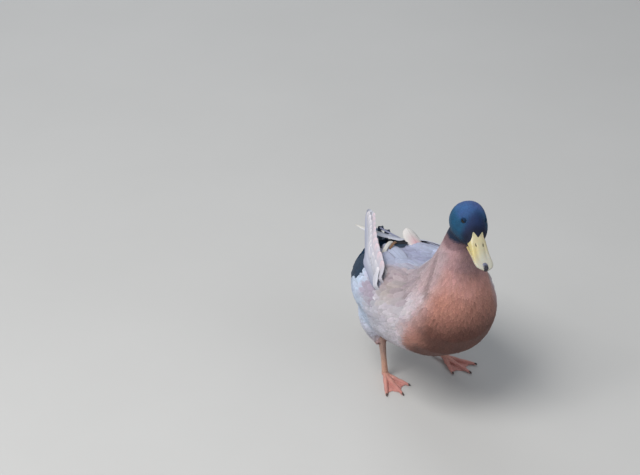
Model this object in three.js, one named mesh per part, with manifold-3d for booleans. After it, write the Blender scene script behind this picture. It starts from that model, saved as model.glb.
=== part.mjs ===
// A standing drake of a light, upright farmyard breed, life size, as a museum model.
// Millimetres, +Z up. The bird faces -Y, so its right side is -X. The origin is on the floor,
// under the middle of the bird's box. Each named mesh is one part of the bird.
import * as THREE from "three";
import { mergeVertices } from "three/addons/utils/BufferGeometryUtils.js";
import Module from "manifold-3d";

const wasm = await Module();
wasm.setup();
const rad = THREE.MathUtils.degToRad;
const X = new THREE.Vector3(1, 0, 0);
const Z = new THREE.Vector3(0, 0, 1);

// ---- Driving dimensions ----------------------------------------------------------------

const GAP = 0.35; // clearance between pieces that touch
const FINE = 0.1; // facets smaller than this are merged away
const BIG = 2000; // a box side larger than the bird

// Trunk and neck along the spine, from the tail root to the top of the neck: spine x, y, z,
// then half width, height above the spine, depth below it, and how round the underside is.
const BODY_STATIONS = [
  [6, 196, 137, 11, 9, 13, 1],
  [5, 178, 133, 33, 23, 32, 0.95],
  [3, 132, 133, 60, 37, 58, 0.85],
  [0, 74, 141, 79, 50, 78, 0.8],
  [0, 12, 155, 83, 56, 79, 0.88],
  [1, -44, 180, 77, 58, 78, 0.95],
  [2, -71, 224, 51, 49, 56, 1],
  [2, -81, 266, 33, 34, 32, 1],
  [3, -88, 298, 26, 26, 25, 1],
  [5, -92, 324, 20, 20, 18, 1],
];
const BODY_RINGS = 27;
const BODY_SIDES = 28;
const NECK_CUT_Z = 246; // the plane between trunk and neck
const HEAD_CUT_Z = 303; // the plane between neck and head

// Feathered thigh: an egg from inside the flank down to the hock.
const THIGH = { middle: [50, 70, 94], radii: [28, 26.5, 16, 8] };

// Skull, along its own axis: distance forward of its centre, half width, height above the
// axis, depth below it, and how far the brow narrows (1 is not at all).
const HEAD_STATIONS = [
  [-34, 5, 5, 6, 1],
  [-29, 15, 15, 16, 1],
  [-17, 24, 26.5, 24, 0.97],
  [-2, 26.5, 29.6, 26.5, 0.9],
  [9, 24.5, 28, 25, 0.8],
  [20, 19.5, 20, 21.5, 0.8],
  [28, 14.2, 10.8, 17.5, 0.92],
  [34, 10, 4.6, 14, 1],
  [38, 5, -1, 10, 1],
];
const HEAD_RINGS = 16;
const HEAD_SIDES = 22;
const HEAD_CENTRE = [6.5, -97, 329];
const HEAD_PITCH = 12; // degrees, bill down
const HEAD_TURN = 8; // degrees, towards the bird's right
const HEAD_ROLL = 10; // degrees, right eye up

// Bill, along the skull's axis: distance forward of its centre, half width, top, underside.
const BILL_UPPER = [
  [22, 11.6, 9, -12.4],
  [30, 12.3, 6.6, -12.6],
  [40, 12.2, 2.6, -12.6],
  [52, 12.2, -2.0, -12.2],
  [61, 12.8, -5.0, -11.8],
  [68, 13.2, -6.8, -11.6],
  [74, 12.0, -8.0, -12.0],
  [78, 8.4, -9.4, -12.8],
  [80, 4.2, -10.6, -13.2],
];
const BILL_LOWER = [
  [20, 10.2, -12.9, -17.8],
  [34, 10.4, -12.9, -16.8],
  [51, 10.5, -12.6, -15.8],
  [63, 11.2, -12.2, -15.0],
  [72, 10.0, -12.3, -14.9],
  [76.5, 5.6, -12.9, -14.9],
];
const BILL_RINGS = 10;
const BILL_SIDES = 12;
const NAIL = { from: 71, to: 80.6, halfWidth: 4.5, top: -7.2, bottom: -14.2 };

// Eyes, along the skull's axis.
const EYE = { radius: 5.4, forward: 8.5, rise: 12.6, out: 11.8 };

// Wings. The arm is a lens-shaped shell on the trunk, between two stations along the spine
// (0 tail root, 1 top of neck) and two angles round it (0 the side, 90 the back's middle).
const ARM = { from: 0.15, to: 0.56, low: -20, high: 84, thick: 7.5, rings: 10, sides: 7 };
// The hand is a folded stack of flight feathers. Its lower edge runs through these points;
// the stack's width is measured up and inwards from that edge, at even steps along it, and
// the way inwards turns from its root to its tip.
const HANDS = {
  right: {
    edge: [[-79, 0, 184], [-54, 98, 172], [-28, 160, 171], [-1, 219, 181]],
    across: [[0.5, 0, 0.87], [0.5, 0, 0.87]],
  },
  left: {
    edge: [[85, 0, 178], [66, 96, 163], [31, 159, 160], [-15, 214, 168]],
    across: [[-0.76, 0, 0.65], [-0.995, 0, 0.1]],
  },
};
const STACK = {
  tips: [1, 0.96, 0.9, 0.82, 0.72, 0.58, 0.4],
  widths: [30, 35, 39, 39, 33, 12],
  halfWidth: 8,
  step: 0.7,
};
// Tertials: broad feathers of the back that end over the hands. Root, tip, way they face, arch.
const TERTIALS = {
  right: [
    [[-58, 16, 190], [-46, 106, 182], [-0.7, 0.2, 0.7], 5],
    [[-44, 22, 200], [-32, 116, 182], [-0.5, 0.25, 0.83], 5],
    [[-28, 26, 206], [-14, 124, 182], [-0.2, 0.3, 0.93], 5],
  ],
  left: [
    [[58, 16, 190], [48, 104, 180], [0.7, 0.2, 0.7], 5],
    [[44, 22, 200], [37, 116, 177], [0.5, 0.15, 0.83], 5],
    [[32, 50, 192], [27, 141, 190], [0.3, 0.1, 0.93], -8],
  ],
};
const TERTIAL_HALF_WIDTH = 14;
const VANE_THICK = 2.2;

// Tail: a closed fan of vanes turned slightly to the left, and two curls on its root.
const TAIL = {
  count: 6, root: [6, 168, 135], rootHalf: 6, length: 74, spread: 6, rise: 4, halfWidth: 9.5, turn: 14,
};
const CURLS = [
  [[8, 174, 141], [11, 189, 147], [14, 200, 154], [15, 202, 162], [14, 194, 167], [13, 187, 165]],
  [[15, 172, 140], [19, 184, 145], [22, 194, 151], [23, 194, 159], [22, 187, 162], [21, 182, 159]],
];
const CURL_RADII = [2.2, 3.2, 3.4, 3, 2.2, 1.2];

// Legs: where the shank meets the foot, where the hock is, which way the foot points.
const LEGS = {
  right: { ankle: [-43, 52, 8], hock: [-47, 56, 62], turn: 3 },
  left: { ankle: [57, 60, 8], hock: [52, 60, 62], turn: 22 },
};
const SHANK = { top: 5.2, middle: 3.9, bottom: 4.6 };
const TOES = [
  // name, length, spread in degrees towards the outside
  ["inner", 44, -29],
  ["middle", 56, -1],
  ["outer", 52, 25],
];
const TOE = { root: 3.6, tip: 2.1, web: 1.7, webReach: 0.84, hind: 15 };

// ---- Shape helpers ---------------------------------------------------------------------

// Smooth interpolation through rows of numbers, by Catmull-Rom on each column.
function between(rows, t) {
  const last = rows.length - 1;
  const at = Math.min(Math.max(t, 0), 1) * last;
  const i = Math.min(Math.floor(at), last - 1);
  const f = at - i;
  const row = (k) => rows[Math.min(Math.max(k, 0), last)];
  return rows[0].map((_, c) => {
    const [p0, p1, p2, p3] = [row(i - 1)[c], row(i)[c], row(i + 1)[c], row(i + 2)[c]];
    return 0.5 * (2 * p1 + (p2 - p0) * f + (2 * p0 - 5 * p1 + 4 * p2 - p3) * f * f
      + (3 * p1 - p0 - 3 * p2 + p3) * f * f * f);
  });
}

const vector = (xyz) => new THREE.Vector3(...xyz);
const mix = (a, b, f) => vector(a).lerp(vector(b), f);

function solidOf(geometry) {
  const bare = geometry.clone();
  bare.deleteAttribute("normal");
  bare.deleteAttribute("uv");
  const merged = mergeVertices(bare, 1e-3);
  return new wasm.Manifold(new wasm.Mesh({
    numProp: 3,
    vertProperties: merged.attributes.position.array,
    triVerts: new Uint32Array(merged.index.array),
  }));
}

function geometryOf(solid) {
  const mesh = solid.getMesh();
  const geometry = new THREE.BufferGeometry();
  geometry.setAttribute("position", new THREE.BufferAttribute(mesh.vertProperties, 3));
  geometry.setIndex(new THREE.BufferAttribute(mesh.triVerts, 1));
  geometry.computeVertexNormals();
  return geometry;
}

// A closed solid through rings of equal length, with a fan at each end.
function loft(rings) {
  const sides = rings[0].length;
  const points = rings.flat();
  const index = [];
  for (let r = 0; r + 1 < rings.length; r++) {
    for (let s = 0; s < sides; s++) {
      const a = r * sides + s;
      const b = r * sides + ((s + 1) % sides);
      index.push(a, b, a + sides, b, b + sides, a + sides);
    }
  }
  for (const ring of [0, rings.length - 1]) {
    const hub = points.length;
    points.push(rings[ring].reduce((sum, p) => sum.add(p), new THREE.Vector3()).divideScalar(sides));
    for (let s = 0; s < sides; s++) {
      const a = ring * sides + s;
      const b = ring * sides + ((s + 1) % sides);
      index.push(hub, ...(ring === 0 ? [b, a] : [a, b]));
    }
  }
  const geometry = new THREE.BufferGeometry().setFromPoints(points);
  geometry.setIndex(index);
  const solid = solidOf(geometry);
  if (solid.volume() > 0) return solid;
  for (let i = 0; i < index.length; i += 3) [index[i], index[i + 1]] = [index[i + 1], index[i]];
  geometry.setIndex(index);
  return solidOf(geometry);
}

// A rounded ring in the plane of two directions, with its own height and depth.
function ringAt(centre, side, up, halfWidth, above, below, sides, roundness = 1, underside = roundness) {
  return Array.from({ length: sides }, (_, i) => {
    const angle = (2 * Math.PI * i) / sides;
    const round = Math.sin(angle) < 0 ? underside : roundness;
    const across = Math.sign(Math.cos(angle)) * Math.abs(Math.cos(angle)) ** round;
    const rise = Math.sign(Math.sin(angle)) * Math.abs(Math.sin(angle)) ** round;
    return centre.clone()
      .addScaledVector(side, halfWidth * across)
      .addScaledVector(up, (rise > 0 ? above : below) * rise);
  });
}

const steps = (count) => Array.from({ length: count + 1 }, (_, i) => i / count);
const largest = (solid) => solid.decompose().sort((a, b) => b.volume() - a.volume())[0];
const union = (solids) => solids.reduce((all, one) => all.add(one));

// The half of space above a height, as a box.
function above(z) {
  return solidOf(new THREE.BoxGeometry(BIG, BIG, BIG).translate(0, 0, z + BIG / 2));
}
function below(z) {
  return solidOf(new THREE.BoxGeometry(BIG, BIG, BIG).translate(0, 0, z - BIG / 2));
}
const mirrored = (p) => [-p[0], p[1], p[2]];

// ---- Trunk, neck and head --------------------------------------------------------------

function bodyFrame(t) {
  const [x, y, z, halfWidth, over, under, underside] = between(BODY_STATIONS, t);
  const ahead = vector(between(BODY_STATIONS, t + 0.01).slice(0, 3));
  const along = ahead.sub(vector(between(BODY_STATIONS, t - 0.01).slice(0, 3))).normalize();
  const up = new THREE.Vector3().crossVectors(along, X).normalize();
  return { centre: vector([x, y, z]), up, halfWidth, over, under, underside };
}

// A point on the trunk's surface: t along the spine, angle round it, distance off it.
function onBody(t, degrees, off) {
  const f = bodyFrame(t);
  const rise = Math.sin(rad(degrees));
  return f.centre.clone()
    .addScaledVector(X, (f.halfWidth + off) * Math.cos(rad(degrees)))
    .addScaledVector(f.up, ((rise > 0 ? f.over : f.under) + off) * rise);
}

function bodySolid(grow = 0) {
  return loft(steps(BODY_RINGS).map((t) => {
    const f = bodyFrame(t);
    return ringAt(f.centre, X, f.up, f.halfWidth + grow, f.over + grow, f.under + grow, BODY_SIDES, 0.94, f.underside);
  }));
}

const headMatrix = new THREE.Matrix4()
  .makeTranslation(...HEAD_CENTRE)
  .multiply(new THREE.Matrix4().makeRotationZ(-rad(HEAD_TURN)))
  .multiply(new THREE.Matrix4().makeRotationX(rad(HEAD_PITCH)))
  .multiply(new THREE.Matrix4().makeRotationY(rad(HEAD_ROLL)));
const inHead = (x, forward, z) => new THREE.Vector3(x, -forward, z).applyMatrix4(headMatrix);

function headSolid(grow = 0) {
  return loft(steps(HEAD_RINGS).map((t) => {
    const [forward, halfWidth, over, under, brow] = between(HEAD_STATIONS, t);
    return ringAt(new THREE.Vector3(0, -forward, 0), X, Z, halfWidth + grow, over + grow, under + grow, HEAD_SIDES, 1)
      .map((p) => {
        const up = Math.min(1, Math.max(0, (2 * p.z) / over));
        p.x *= 1 - (1 - brow) * up * up * (3 - 2 * up);
        return p.applyMatrix4(headMatrix);
      });
  }));
}

// A mandible: rings of a flattened section between a top and an underside.
function mandible(stations, grow = 0) {
  return loft(steps(BILL_RINGS).map((t) => {
    const [forward, halfWidth, top, bottom] = between(stations, t);
    const middle = (top + bottom) / 2;
    const half = (top - bottom) / 2 + grow;
    const ahead = forward + grow * (2 * t - 1);
    return ringAt(new THREE.Vector3(0, -ahead, middle), X, Z, halfWidth + grow, half, half, BILL_SIDES, 0.8)
      .map((p) => p.applyMatrix4(headMatrix));
  }));
}

// The hard tip of the bill, set into the end of the upper mandible.
function nailSolid(grow = 0) {
  const { from, to, halfWidth, top, bottom } = NAIL;
  return loft(steps(5).map((t) => {
    const swell = Math.sqrt(Math.max(0.06, 1 - (2 * t - 1) ** 4));
    const forward = from - grow + (to - from + 2 * grow) * t;
    const crest = top + 0.9 - 3.4 * t * t + grow;
    const foot = bottom + 3.4 * (1 - t) ** 2 - grow;
    const middle = (crest + foot) / 2;
    return ringAt(new THREE.Vector3(0, -forward, middle), X, Z,
      (halfWidth + grow) * swell, crest - middle, middle - foot, 10, 1)
      .map((p) => p.applyMatrix4(headMatrix));
  }));
}

function eyeball(sideSign, grow = 0) {
  const centre = inHead(sideSign * EYE.out, EYE.forward, EYE.rise);
  return solidOf(new THREE.SphereGeometry(EYE.radius + grow, 12, 8).translate(...centre.toArray()));
}

// ---- Feathers, tail and wings ----------------------------------------------------------

// One vane: a flat strip along points, facing a direction, with a narrow root and round tip.
const VANE_STEPS = [0, 0.25, 0.6, 0.85, 0.96, 1];
function vane(at, face, halfWidth, grow = 0) {
  return loft(VANE_STEPS.map((t) => {
    const width = halfWidth * Math.min(1, 0.4 + 3 * t) * Math.sqrt(Math.max(0.05, 1 - t ** 7)) + grow;
    const along = at(t + 0.02).sub(at(t - 0.02)).normalize();
    const centre = at(t).addScaledVector(along, grow * (2 * t - 1));
    const side = new THREE.Vector3().crossVectors(along, face).normalize().multiplyScalar(width);
    const up = new THREE.Vector3().crossVectors(side, along).setLength(VANE_THICK / 2 + grow);
    return [[1, 1], [-1, 1], [-1, -1], [1, -1]].map(([s, u]) =>
      centre.clone().addScaledVector(side, s).addScaledVector(up, u));
  }));
}

// The folded stack: each feather's tip lies on the upper edge, further in than the last.
function handStack(side, grow = 0) {
  const edge = new THREE.CatmullRomCurve3(HANDS[side].edge.map(vector));
  const across = (t) => mix(...HANDS[side].across, Math.min(1, Math.max(0, t))).normalize();
  const along = edge.getPoint(1).sub(edge.getPoint(0)).normalize();
  const face = new THREE.Vector3().crossVectors(across(0.6), along).normalize();
  if (side === "left") face.negate();
  const [rootWidth] = STACK.widths;
  const inset = STACK.halfWidth * 0.8;
  return union(STACK.tips.map((reach, i) => {
    const f = i / (STACK.tips.length - 1);
    const rootOff = inset + f * (rootWidth - 2 * inset);
    const tipOff = Math.max(2, between(STACK.widths.map((w) => [w]), reach)[0] - inset);
    return vane((t) => edge.getPoint(Math.min(1, Math.max(0, t * reach)))
      .addScaledVector(along, (Math.min(0, t) + Math.max(0, t - 1)) * 100)
      .addScaledVector(across(t * reach), rootOff + (tipOff - rootOff) * t)
      .addScaledVector(face, i * STACK.step), face, STACK.halfWidth, grow);
  }));
}

// A vane between two points, arched a little towards the way it faces.
function straightVane(root, tip, facing, halfWidth, arch = 0) {
  const face = vector(facing).normalize();
  return vane((t) => mix(root, tip, t).addScaledVector(face, arch * 4 * t * (1 - t)), face, halfWidth);
}

const tertialFan = (side) => union(TERTIALS[side].map(([root, tip, face, arch]) =>
  straightVane(root, tip, face, TERTIAL_HALF_WIDTH, arch)));

function armShell(sideSign, grow = 0) {
  const { from, to, low, high, thick, rings, sides } = ARM;
  return loft(steps(rings).map((t) => {
    const along = from + (to - from) * t;
    const openness = Math.sqrt(Math.max(0.03, 1 - (2 * t - 1) ** 4));
    const middle = (low + high) / 2;
    const reach = ((high - low) / 2) * openness + grow;
    const outer = [];
    const inner = [];
    for (const s of steps(sides)) {
      const angle = middle + reach * (2 * s - 1);
      const degrees = sideSign > 0 ? angle : 180 - angle;
      const lens = thick * openness * Math.sqrt(Math.max(0, 1 - (2 * s - 1) ** 2));
      outer.push(onBody(along, degrees, 0.9 + lens + grow));
      inner.push(onBody(along, degrees, -3));
    }
    return [...outer, ...inner.reverse()];
  }));
}

function tailFan() {
  const { count, root, rootHalf, length, spread, rise, halfWidth, turn } = TAIL;
  return union(Array.from({ length: count }, (_, i) => {
    const f = (2 * i) / (count - 1) - 1;
    const angle = rad(f * spread + turn);
    const reach = length * (1 - 0.16 * Math.abs(f));
    const start = [root[0] + f * rootHalf, root[1], root[2] - Math.abs(f) * 2];
    const end = [start[0] + Math.sin(angle) * reach, start[1] + Math.cos(angle) * reach,
      start[2] + rise - Math.abs(f) * 5];
    return straightVane(start, end, [f * 0.25, 0, 1], halfWidth);
  }));
}

// ---- Legs ------------------------------------------------------------------------------

function tube(points, radii, sides, grow = 0) {
  const curve = new THREE.CatmullRomCurve3(points.map(vector));
  return loft(steps(points.length + 3).map((t) => {
    const along = curve.getTangent(t);
    const centre = curve.getPoint(t).addScaledVector(along, grow * (2 * t - 1));
    const side = new THREE.Vector3().crossVectors(along, Math.abs(along.x) < 0.8 ? X : Z).normalize();
    const up = new THREE.Vector3().crossVectors(side, along);
    const [radius] = between(radii.map((r) => [r + grow]), t);
    return ringAt(centre, side, up, radius, radius, radius, sides, 1);
  }));
}

function footSolid(sideSign, grow = 0) {
  const toes = TOES.map(([, length, spread]) => {
    const angle = rad(spread * sideSign);
    const reach = (d, z) => [Math.sin(angle) * d, -Math.cos(angle) * d, z];
    return tube([[0, 0, 6], reach(length * 0.33, 3.6), reach(length * 0.68, 2.4), reach(length, 1.2)],
      [4.4, TOE.root, 2.9, TOE.tip, 0.9], 6, grow);
  });
  const outline = [[0, 6]];
  for (const [index, [, length, spread]] of TOES.entries()) {
    const angle = rad(spread * sideSign);
    const reach = length * TOE.webReach;
    outline.push([Math.sin(angle) * reach, -Math.cos(angle) * reach]);
    if (index < TOES.length - 1) {
      const next = TOES[index + 1];
      const half = rad(((spread + next[2]) / 2) * sideSign);
      const hollow = 0.88 * TOE.webReach * Math.min(length, next[1]);
      outline.push([Math.sin(half) * hollow, -Math.cos(half) * hollow]);
    }
  }
  const shape = new THREE.Shape(outline.map(([x, y]) => new THREE.Vector2(x, y)));
  const web = solidOf(new THREE.ExtrudeGeometry(shape, { depth: TOE.web + grow, bevelEnabled: false }));
  const hind = tube([[0, 2, 9], [-sideSign * 3, 10, 6], [-sideSign * 5, 10 + TOE.hind * 0.6, 2.2]],
    [3.4, 2.6, 1.4], 6, grow);
  return union([...toes, web, hind]).subtract(below(0));
}

const shankSolid = ({ ankle, hock }, grow = 0) => tube(
  [ankle, mix(ankle, hock, 0.5).toArray(), hock],
  [SHANK.bottom, SHANK.middle, SHANK.top], 10, grow);

function thighSolid(side) {
  const { hock } = LEGS[side];
  const middle = side === "left" ? THIGH.middle : mirrored(THIGH.middle);
  const top = [middle[0] * 0.88, middle[1] + 10, middle[2] + 36];
  return tube([top, middle, [(middle[0] + hock[0]) / 2, (middle[1] + hock[1]) / 2 + 2, 70], [hock[0], hock[1], hock[2] - 5]],
    THIGH.radii, 14);
}

// ---- The bird --------------------------------------------------------------------------

const group = new THREE.Group();
const COLOURS = {
  chest: 0x8c5a4c, neck: 0x8a6258, head: 0x1c3340, bill: 0xcdbd72, nail: 0x1c1c22, eye: 0x15100c,
  wing: 0xa9a3b2, vane: 0xb9b8cc, tail: 0x8d939d, curl: 0x16323c, leg: 0xc0603c,
};
function add(name, solid, colour, roughness = 0.8) {
  const material = new THREE.MeshStandardMaterial({ color: colour, roughness, metalness: 0 });
  const mesh = new THREE.Mesh(geometryOf(largest(largest(solid).simplify(FINE))), material);
  mesh.name = name;
  group.add(mesh);
}

const bodyRoom = bodySolid(GAP);
const billRoom = mandible(BILL_UPPER, 2 * GAP).add(mandible(BILL_LOWER, 2 * GAP));
const flesh = bodySolid().add(headSolid())
  .subtract(billRoom).subtract(eyeball(1, GAP)).subtract(eyeball(-1, GAP));

add("trunk", flesh.intersect(below(NECK_CUT_Z)), COLOURS.chest);
add("neck", flesh.intersect(above(NECK_CUT_Z + GAP)).intersect(below(HEAD_CUT_Z)), COLOURS.neck);
add("head", flesh.intersect(above(HEAD_CUT_Z + GAP)), COLOURS.head);
add("bill_upper", mandible(BILL_UPPER).subtract(nailSolid(GAP)), COLOURS.bill, 0.45);
add("bill_lower", mandible(BILL_LOWER).subtract(mandible(BILL_UPPER, GAP)).subtract(nailSolid(GAP)), COLOURS.bill, 0.45);
add("bill_nail", nailSolid(), COLOURS.nail, 0.4);
add("eye_left", eyeball(1), COLOURS.eye, 0.05);
add("eye_right", eyeball(-1), COLOURS.eye, 0.05);

let taken = bodyRoom;
for (const [side, sideSign] of [["right", -1], ["left", 1]]) {
  add("wing_arm_" + side, armShell(sideSign).subtract(bodyRoom), COLOURS.wing);
  taken = taken.add(armShell(sideSign, GAP));
}
for (const side of ["right", "left"]) {
  add("wing_hand_" + side, handStack(side).subtract(taken), COLOURS.vane);
  taken = taken.add(handStack(side, GAP));
}
for (const side of ["right", "left"]) {
  add("wing_tertials_" + side, tertialFan(side).subtract(taken), COLOURS.wing);
}
add("tail", tailFan().subtract(bodyRoom), COLOURS.tail);
for (const [i, points] of CURLS.entries()) {
  add("tail_curl_" + (i + 1), tube(points, CURL_RADII, 6).subtract(bodyRoom), COLOURS.curl);
}
for (const [side, sideSign] of [["right", -1], ["left", 1]]) {
  const leg = LEGS[side];
  const placed = (solid) => solid.rotate([0, 0, leg.turn]).translate([leg.ankle[0], leg.ankle[1], 0]);
  const foot = placed(footSolid(sideSign));
  const footRoom = placed(footSolid(sideSign, GAP));
  const shank = shankSolid(leg);
  const shankRoom = shankSolid(leg, GAP);
  add("foot_" + side, foot, COLOURS.leg);
  add("shank_" + side, shank.subtract(footRoom).subtract(bodyRoom), COLOURS.leg);
  add("thigh_" + side, thighSolid(side).subtract(taken).subtract(shankRoom), COLOURS.chest);
}

// The origin goes under the middle of the bird's box, on the floor.
const box = new THREE.Box3().setFromObject(group);
group.position.set(-(box.min.x + box.max.x) / 2, -(box.min.y + box.max.y) / 2, -box.min.z);

export default group;
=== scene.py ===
import math

import bmesh
import bpy
import numpy as np
from bpy.props import FloatProperty, FloatVectorProperty, IntProperty, PointerProperty
from mathutils import Matrix, Vector
from mathutils.bvhtree import BVHTree
from mathutils.kdtree import KDTree


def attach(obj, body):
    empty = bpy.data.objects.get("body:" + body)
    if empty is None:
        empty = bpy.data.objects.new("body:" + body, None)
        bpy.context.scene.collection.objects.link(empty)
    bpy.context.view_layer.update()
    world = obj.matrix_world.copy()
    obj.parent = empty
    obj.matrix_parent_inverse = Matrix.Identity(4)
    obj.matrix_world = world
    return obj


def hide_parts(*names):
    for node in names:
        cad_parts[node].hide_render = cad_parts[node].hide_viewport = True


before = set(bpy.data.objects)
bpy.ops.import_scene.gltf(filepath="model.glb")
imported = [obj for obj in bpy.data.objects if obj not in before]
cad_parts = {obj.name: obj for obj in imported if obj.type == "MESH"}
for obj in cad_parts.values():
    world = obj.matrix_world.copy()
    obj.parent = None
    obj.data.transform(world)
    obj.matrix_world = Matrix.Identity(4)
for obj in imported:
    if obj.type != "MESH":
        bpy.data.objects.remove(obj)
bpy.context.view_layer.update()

bl_info = {
    "name": "Farmyard drake",
    "version": (1, 0, 0),
    "blender": (4, 5, 0),
    "location": "View3D > Sidebar > Drake",
    "description": "Feathers, bill, eyes, legs and stage for a standing drake, over its packed solids",
    "category": "Object",
}

# ---- The bird's drawing ------------------------------------------------------------------
# The bird is drawn in millimetres, facing -Y, with its right side at -X and the floor at 0.
# The drawing is laid on the row frame by one shift and a change to metres.

MM = 0.001
SHIFT = Vector((-3.1116, -32.7397, 0.0))
TO_ROW = Matrix.Scale(MM, 4) @ Matrix.Translation(SHIFT)

# Trunk and neck along the spine, from the tail root to the top of the neck: spine x, y, z,
# then half width, height above the spine and depth below it.
BODY_STATIONS = (
    (6, 196, 137, 11, 9, 13),
    (5, 178, 133, 33, 23, 32),
    (3, 132, 133, 60, 37, 58),
    (0, 74, 141, 79, 50, 78),
    (0, 12, 155, 83, 56, 79),
    (1, -44, 180, 77, 58, 78),
    (2, -71, 224, 51, 49, 56),
    (2, -81, 266, 33, 34, 32),
    (3, -88, 298, 26, 26, 25),
    (5, -92, 324, 20, 20, 18),
)
# Skull: distance forward of its centre, half width, height above the axis, depth below, brow.
HEAD_STATIONS = (
    (-34, 5, 5, 6, 1),
    (-29, 15, 15, 16, 1),
    (-17, 24, 26.5, 24, 0.97),
    (-2, 26.5, 29.6, 26.5, 0.9),
    (9, 24.5, 28, 25, 0.8),
    (20, 19.5, 20, 21.5, 0.8),
    (28, 14.2, 10.8, 17.5, 0.92),
    (34, 10, 4.6, 14, 1),
    (38, 5, -1, 10, 1),
)
HEAD_CENTRE = Vector((6.5, -97, 329))
HEAD_TURN, HEAD_PITCH, HEAD_ROLL = (math.radians(a) for a in (-8, 12, 10))
HEAD = (
    Matrix.Translation(HEAD_CENTRE)
    @ Matrix.Rotation(HEAD_TURN, 4, "Z")
    @ Matrix.Rotation(HEAD_PITCH, 4, "X")
    @ Matrix.Rotation(HEAD_ROLL, 4, "Y")
)
# Bill, along the skull's axis: distance forward, half width, top, underside.
BILL_UPPER = (
    (22, 11.6, 9, -12.4),
    (30, 12.3, 6.6, -12.6),
    (40, 12.2, 2.6, -12.6),
    (52, 12.2, -2.0, -12.2),
    (61, 12.8, -5.0, -11.8),
    (68, 13.2, -6.8, -11.6),
    (74, 12.0, -8.0, -12.0),
    (78, 8.4, -9.4, -12.8),
    (80, 4.2, -10.6, -13.2),
)
BILL_LOWER = (
    (20, 10.2, -12.9, -17.8),
    (34, 10.4, -12.9, -16.8),
    (51, 10.5, -12.6, -15.8),
    (63, 11.2, -12.2, -15.0),
    (72, 10.0, -12.3, -14.9),
    (76.5, 5.6, -12.9, -14.9),
)
NAIL_FROM, NAIL_TO, NAIL_HALF, NAIL_TOP, NAIL_FOOT = 71.0, 80.6, 4.5, -7.2, -14.2
# How far forward the feathers of the face reach, by the angle round the bill: 90 is the forehead.
FACE_EDGE = (
    (-90, 27.5), (-55, 28.5), (-15, 33), (5, 35.5), (25, 36), (40, 32), (56, 27.2), (70, 30.8), (90, 34.6)
)
# The eye's middle in the skull's frame, and its radius.
EYE_PLACE = Vector((13.2, -8.5, 12.6))
EYE_RADIUS = 5.3
EYES = ("eye_left", "eye_right")
# Folded wings: the lower edge of the stack of flight feathers, and the ways it widens from that
# edge, at its root and at its tip.
HAND_EDGES = {
    "right": (
        ((-79, 0, 184), (-54, 98, 172), (-28, 160, 171), (-1, 219, 181)),
        (0.5, 0, 0.87),
        (0.5, 0, 0.87),
    ),
    "left": (
        ((85, 0, 178), (66, 96, 163), (31, 159, 160), (-15, 214, 168)),
        (-0.76, 0, 0.65),
        (-0.995, 0, 0.1),
    ),
}
# How far along that edge the feathers' tips reach, from the outermost one to the innermost, the
# width of the stack along it, and half the width of one feather.
HAND_TIPS = (0.98, 0.95, 0.9, 0.82, 0.72, 0.58, 0.4)
HAND_WIDTHS = (30, 35, 39, 39, 33, 12)
HAND_HALF_WIDTH = 8
# Tertials: root, tip, the way they face, how far they arch.
TERTIALS = {
    "right": (
        ((-58, 16, 190), (-46, 106, 182), (-0.7, 0.2, 0.7), 5),
        ((-44, 22, 200), (-32, 116, 182), (-0.5, 0.25, 0.83), 5),
        ((-28, 26, 206), (-14, 124, 182), (-0.2, 0.3, 0.93), 5),
    ),
    "left": (
        ((58, 16, 190), (48, 104, 180), (0.7, 0.2, 0.7), 5),
        ((44, 22, 200), (37, 116, 177), (0.5, 0.15, 0.83), 5),
        ((33, 50, 192), (28, 136, 193), (0.15, 0.0, 0.95), -9),
    ),
}
# The feather that curves up round the rear of the back, and the two curled ones on the tail.
HOLLOW_EDGE = (
    (-40, 79, 189), (-35, 84, 193), (-29, 89, 197), (-22, 95, 199), (-15, 102, 197.5), (-9, 108, 194)
)
CURLS = (
    ((8, 174, 141), (11, 189, 147), (14, 200, 154), (15, 202, 162), (14, 194, 167), (13, 187, 165)),
    ((15, 172, 140), (19, 184, 145), (22, 194, 151), (23, 194, 159), (22, 187, 162), (21, 182, 159)),
)
LEGS = {
    "right": {"ankle": (-43, 52, 8), "hock": (-47, 56, 62), "turn": 3},
    "left": {"ankle": (57, 60, 8), "hock": (52, 60, 62), "turn": 22},
}
# Length of each front toe and the way it points, in degrees from straight ahead.
TOES = ((44, -29), (56, -1), (52, 25))
FLESH = ("trunk", "neck", "head", "thigh_left", "thigh_right", "wing_arm_left", "wing_arm_right")
BILL_ROOTS = ("bill_upper", "bill_lower")


def unit(v):
    """Rows of vectors, each made one long."""
    return v / np.maximum(np.linalg.norm(v, axis=-1, keepdims=True), 1e-9)


def ease(x, low, high):
    """0 below low, 1 above high, and smooth between them."""
    f = np.clip((np.asarray(x, float) - low) / (high - low), 0, 1)
    return f * f * (3 - 2 * f)


def between(rows, t):
    """Smooth interpolation through rows of numbers, for an array of places from 0 to 1."""
    rows = np.asarray(rows, float)
    last = len(rows) - 1
    at = np.clip(np.asarray(t, float), 0, 1) * last
    i = np.minimum(at.astype(int), last - 1)
    f = (at - i)[..., None]
    p0, p1, p2, p3 = (rows[np.clip(i + k, 0, last)] for k in (-1, 0, 1, 2))
    return 0.5 * (
        2 * p1 + (p2 - p0) * f + (2 * p0 - 5 * p1 + 4 * p2 - p3) * f**2
        + (3 * p1 - p0 - 3 * p2 + p3) * f**3
    )


SPINE_STEPS = 361
SPINE_T = np.linspace(0, 1, SPINE_STEPS)
SPINE = between(BODY_STATIONS, SPINE_T)
SPINE_ALONG = unit(np.gradient(SPINE[:, :3], axis=0))
SPINE_UP = unit(np.cross(SPINE_ALONG, (1, 0, 0)))


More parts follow.
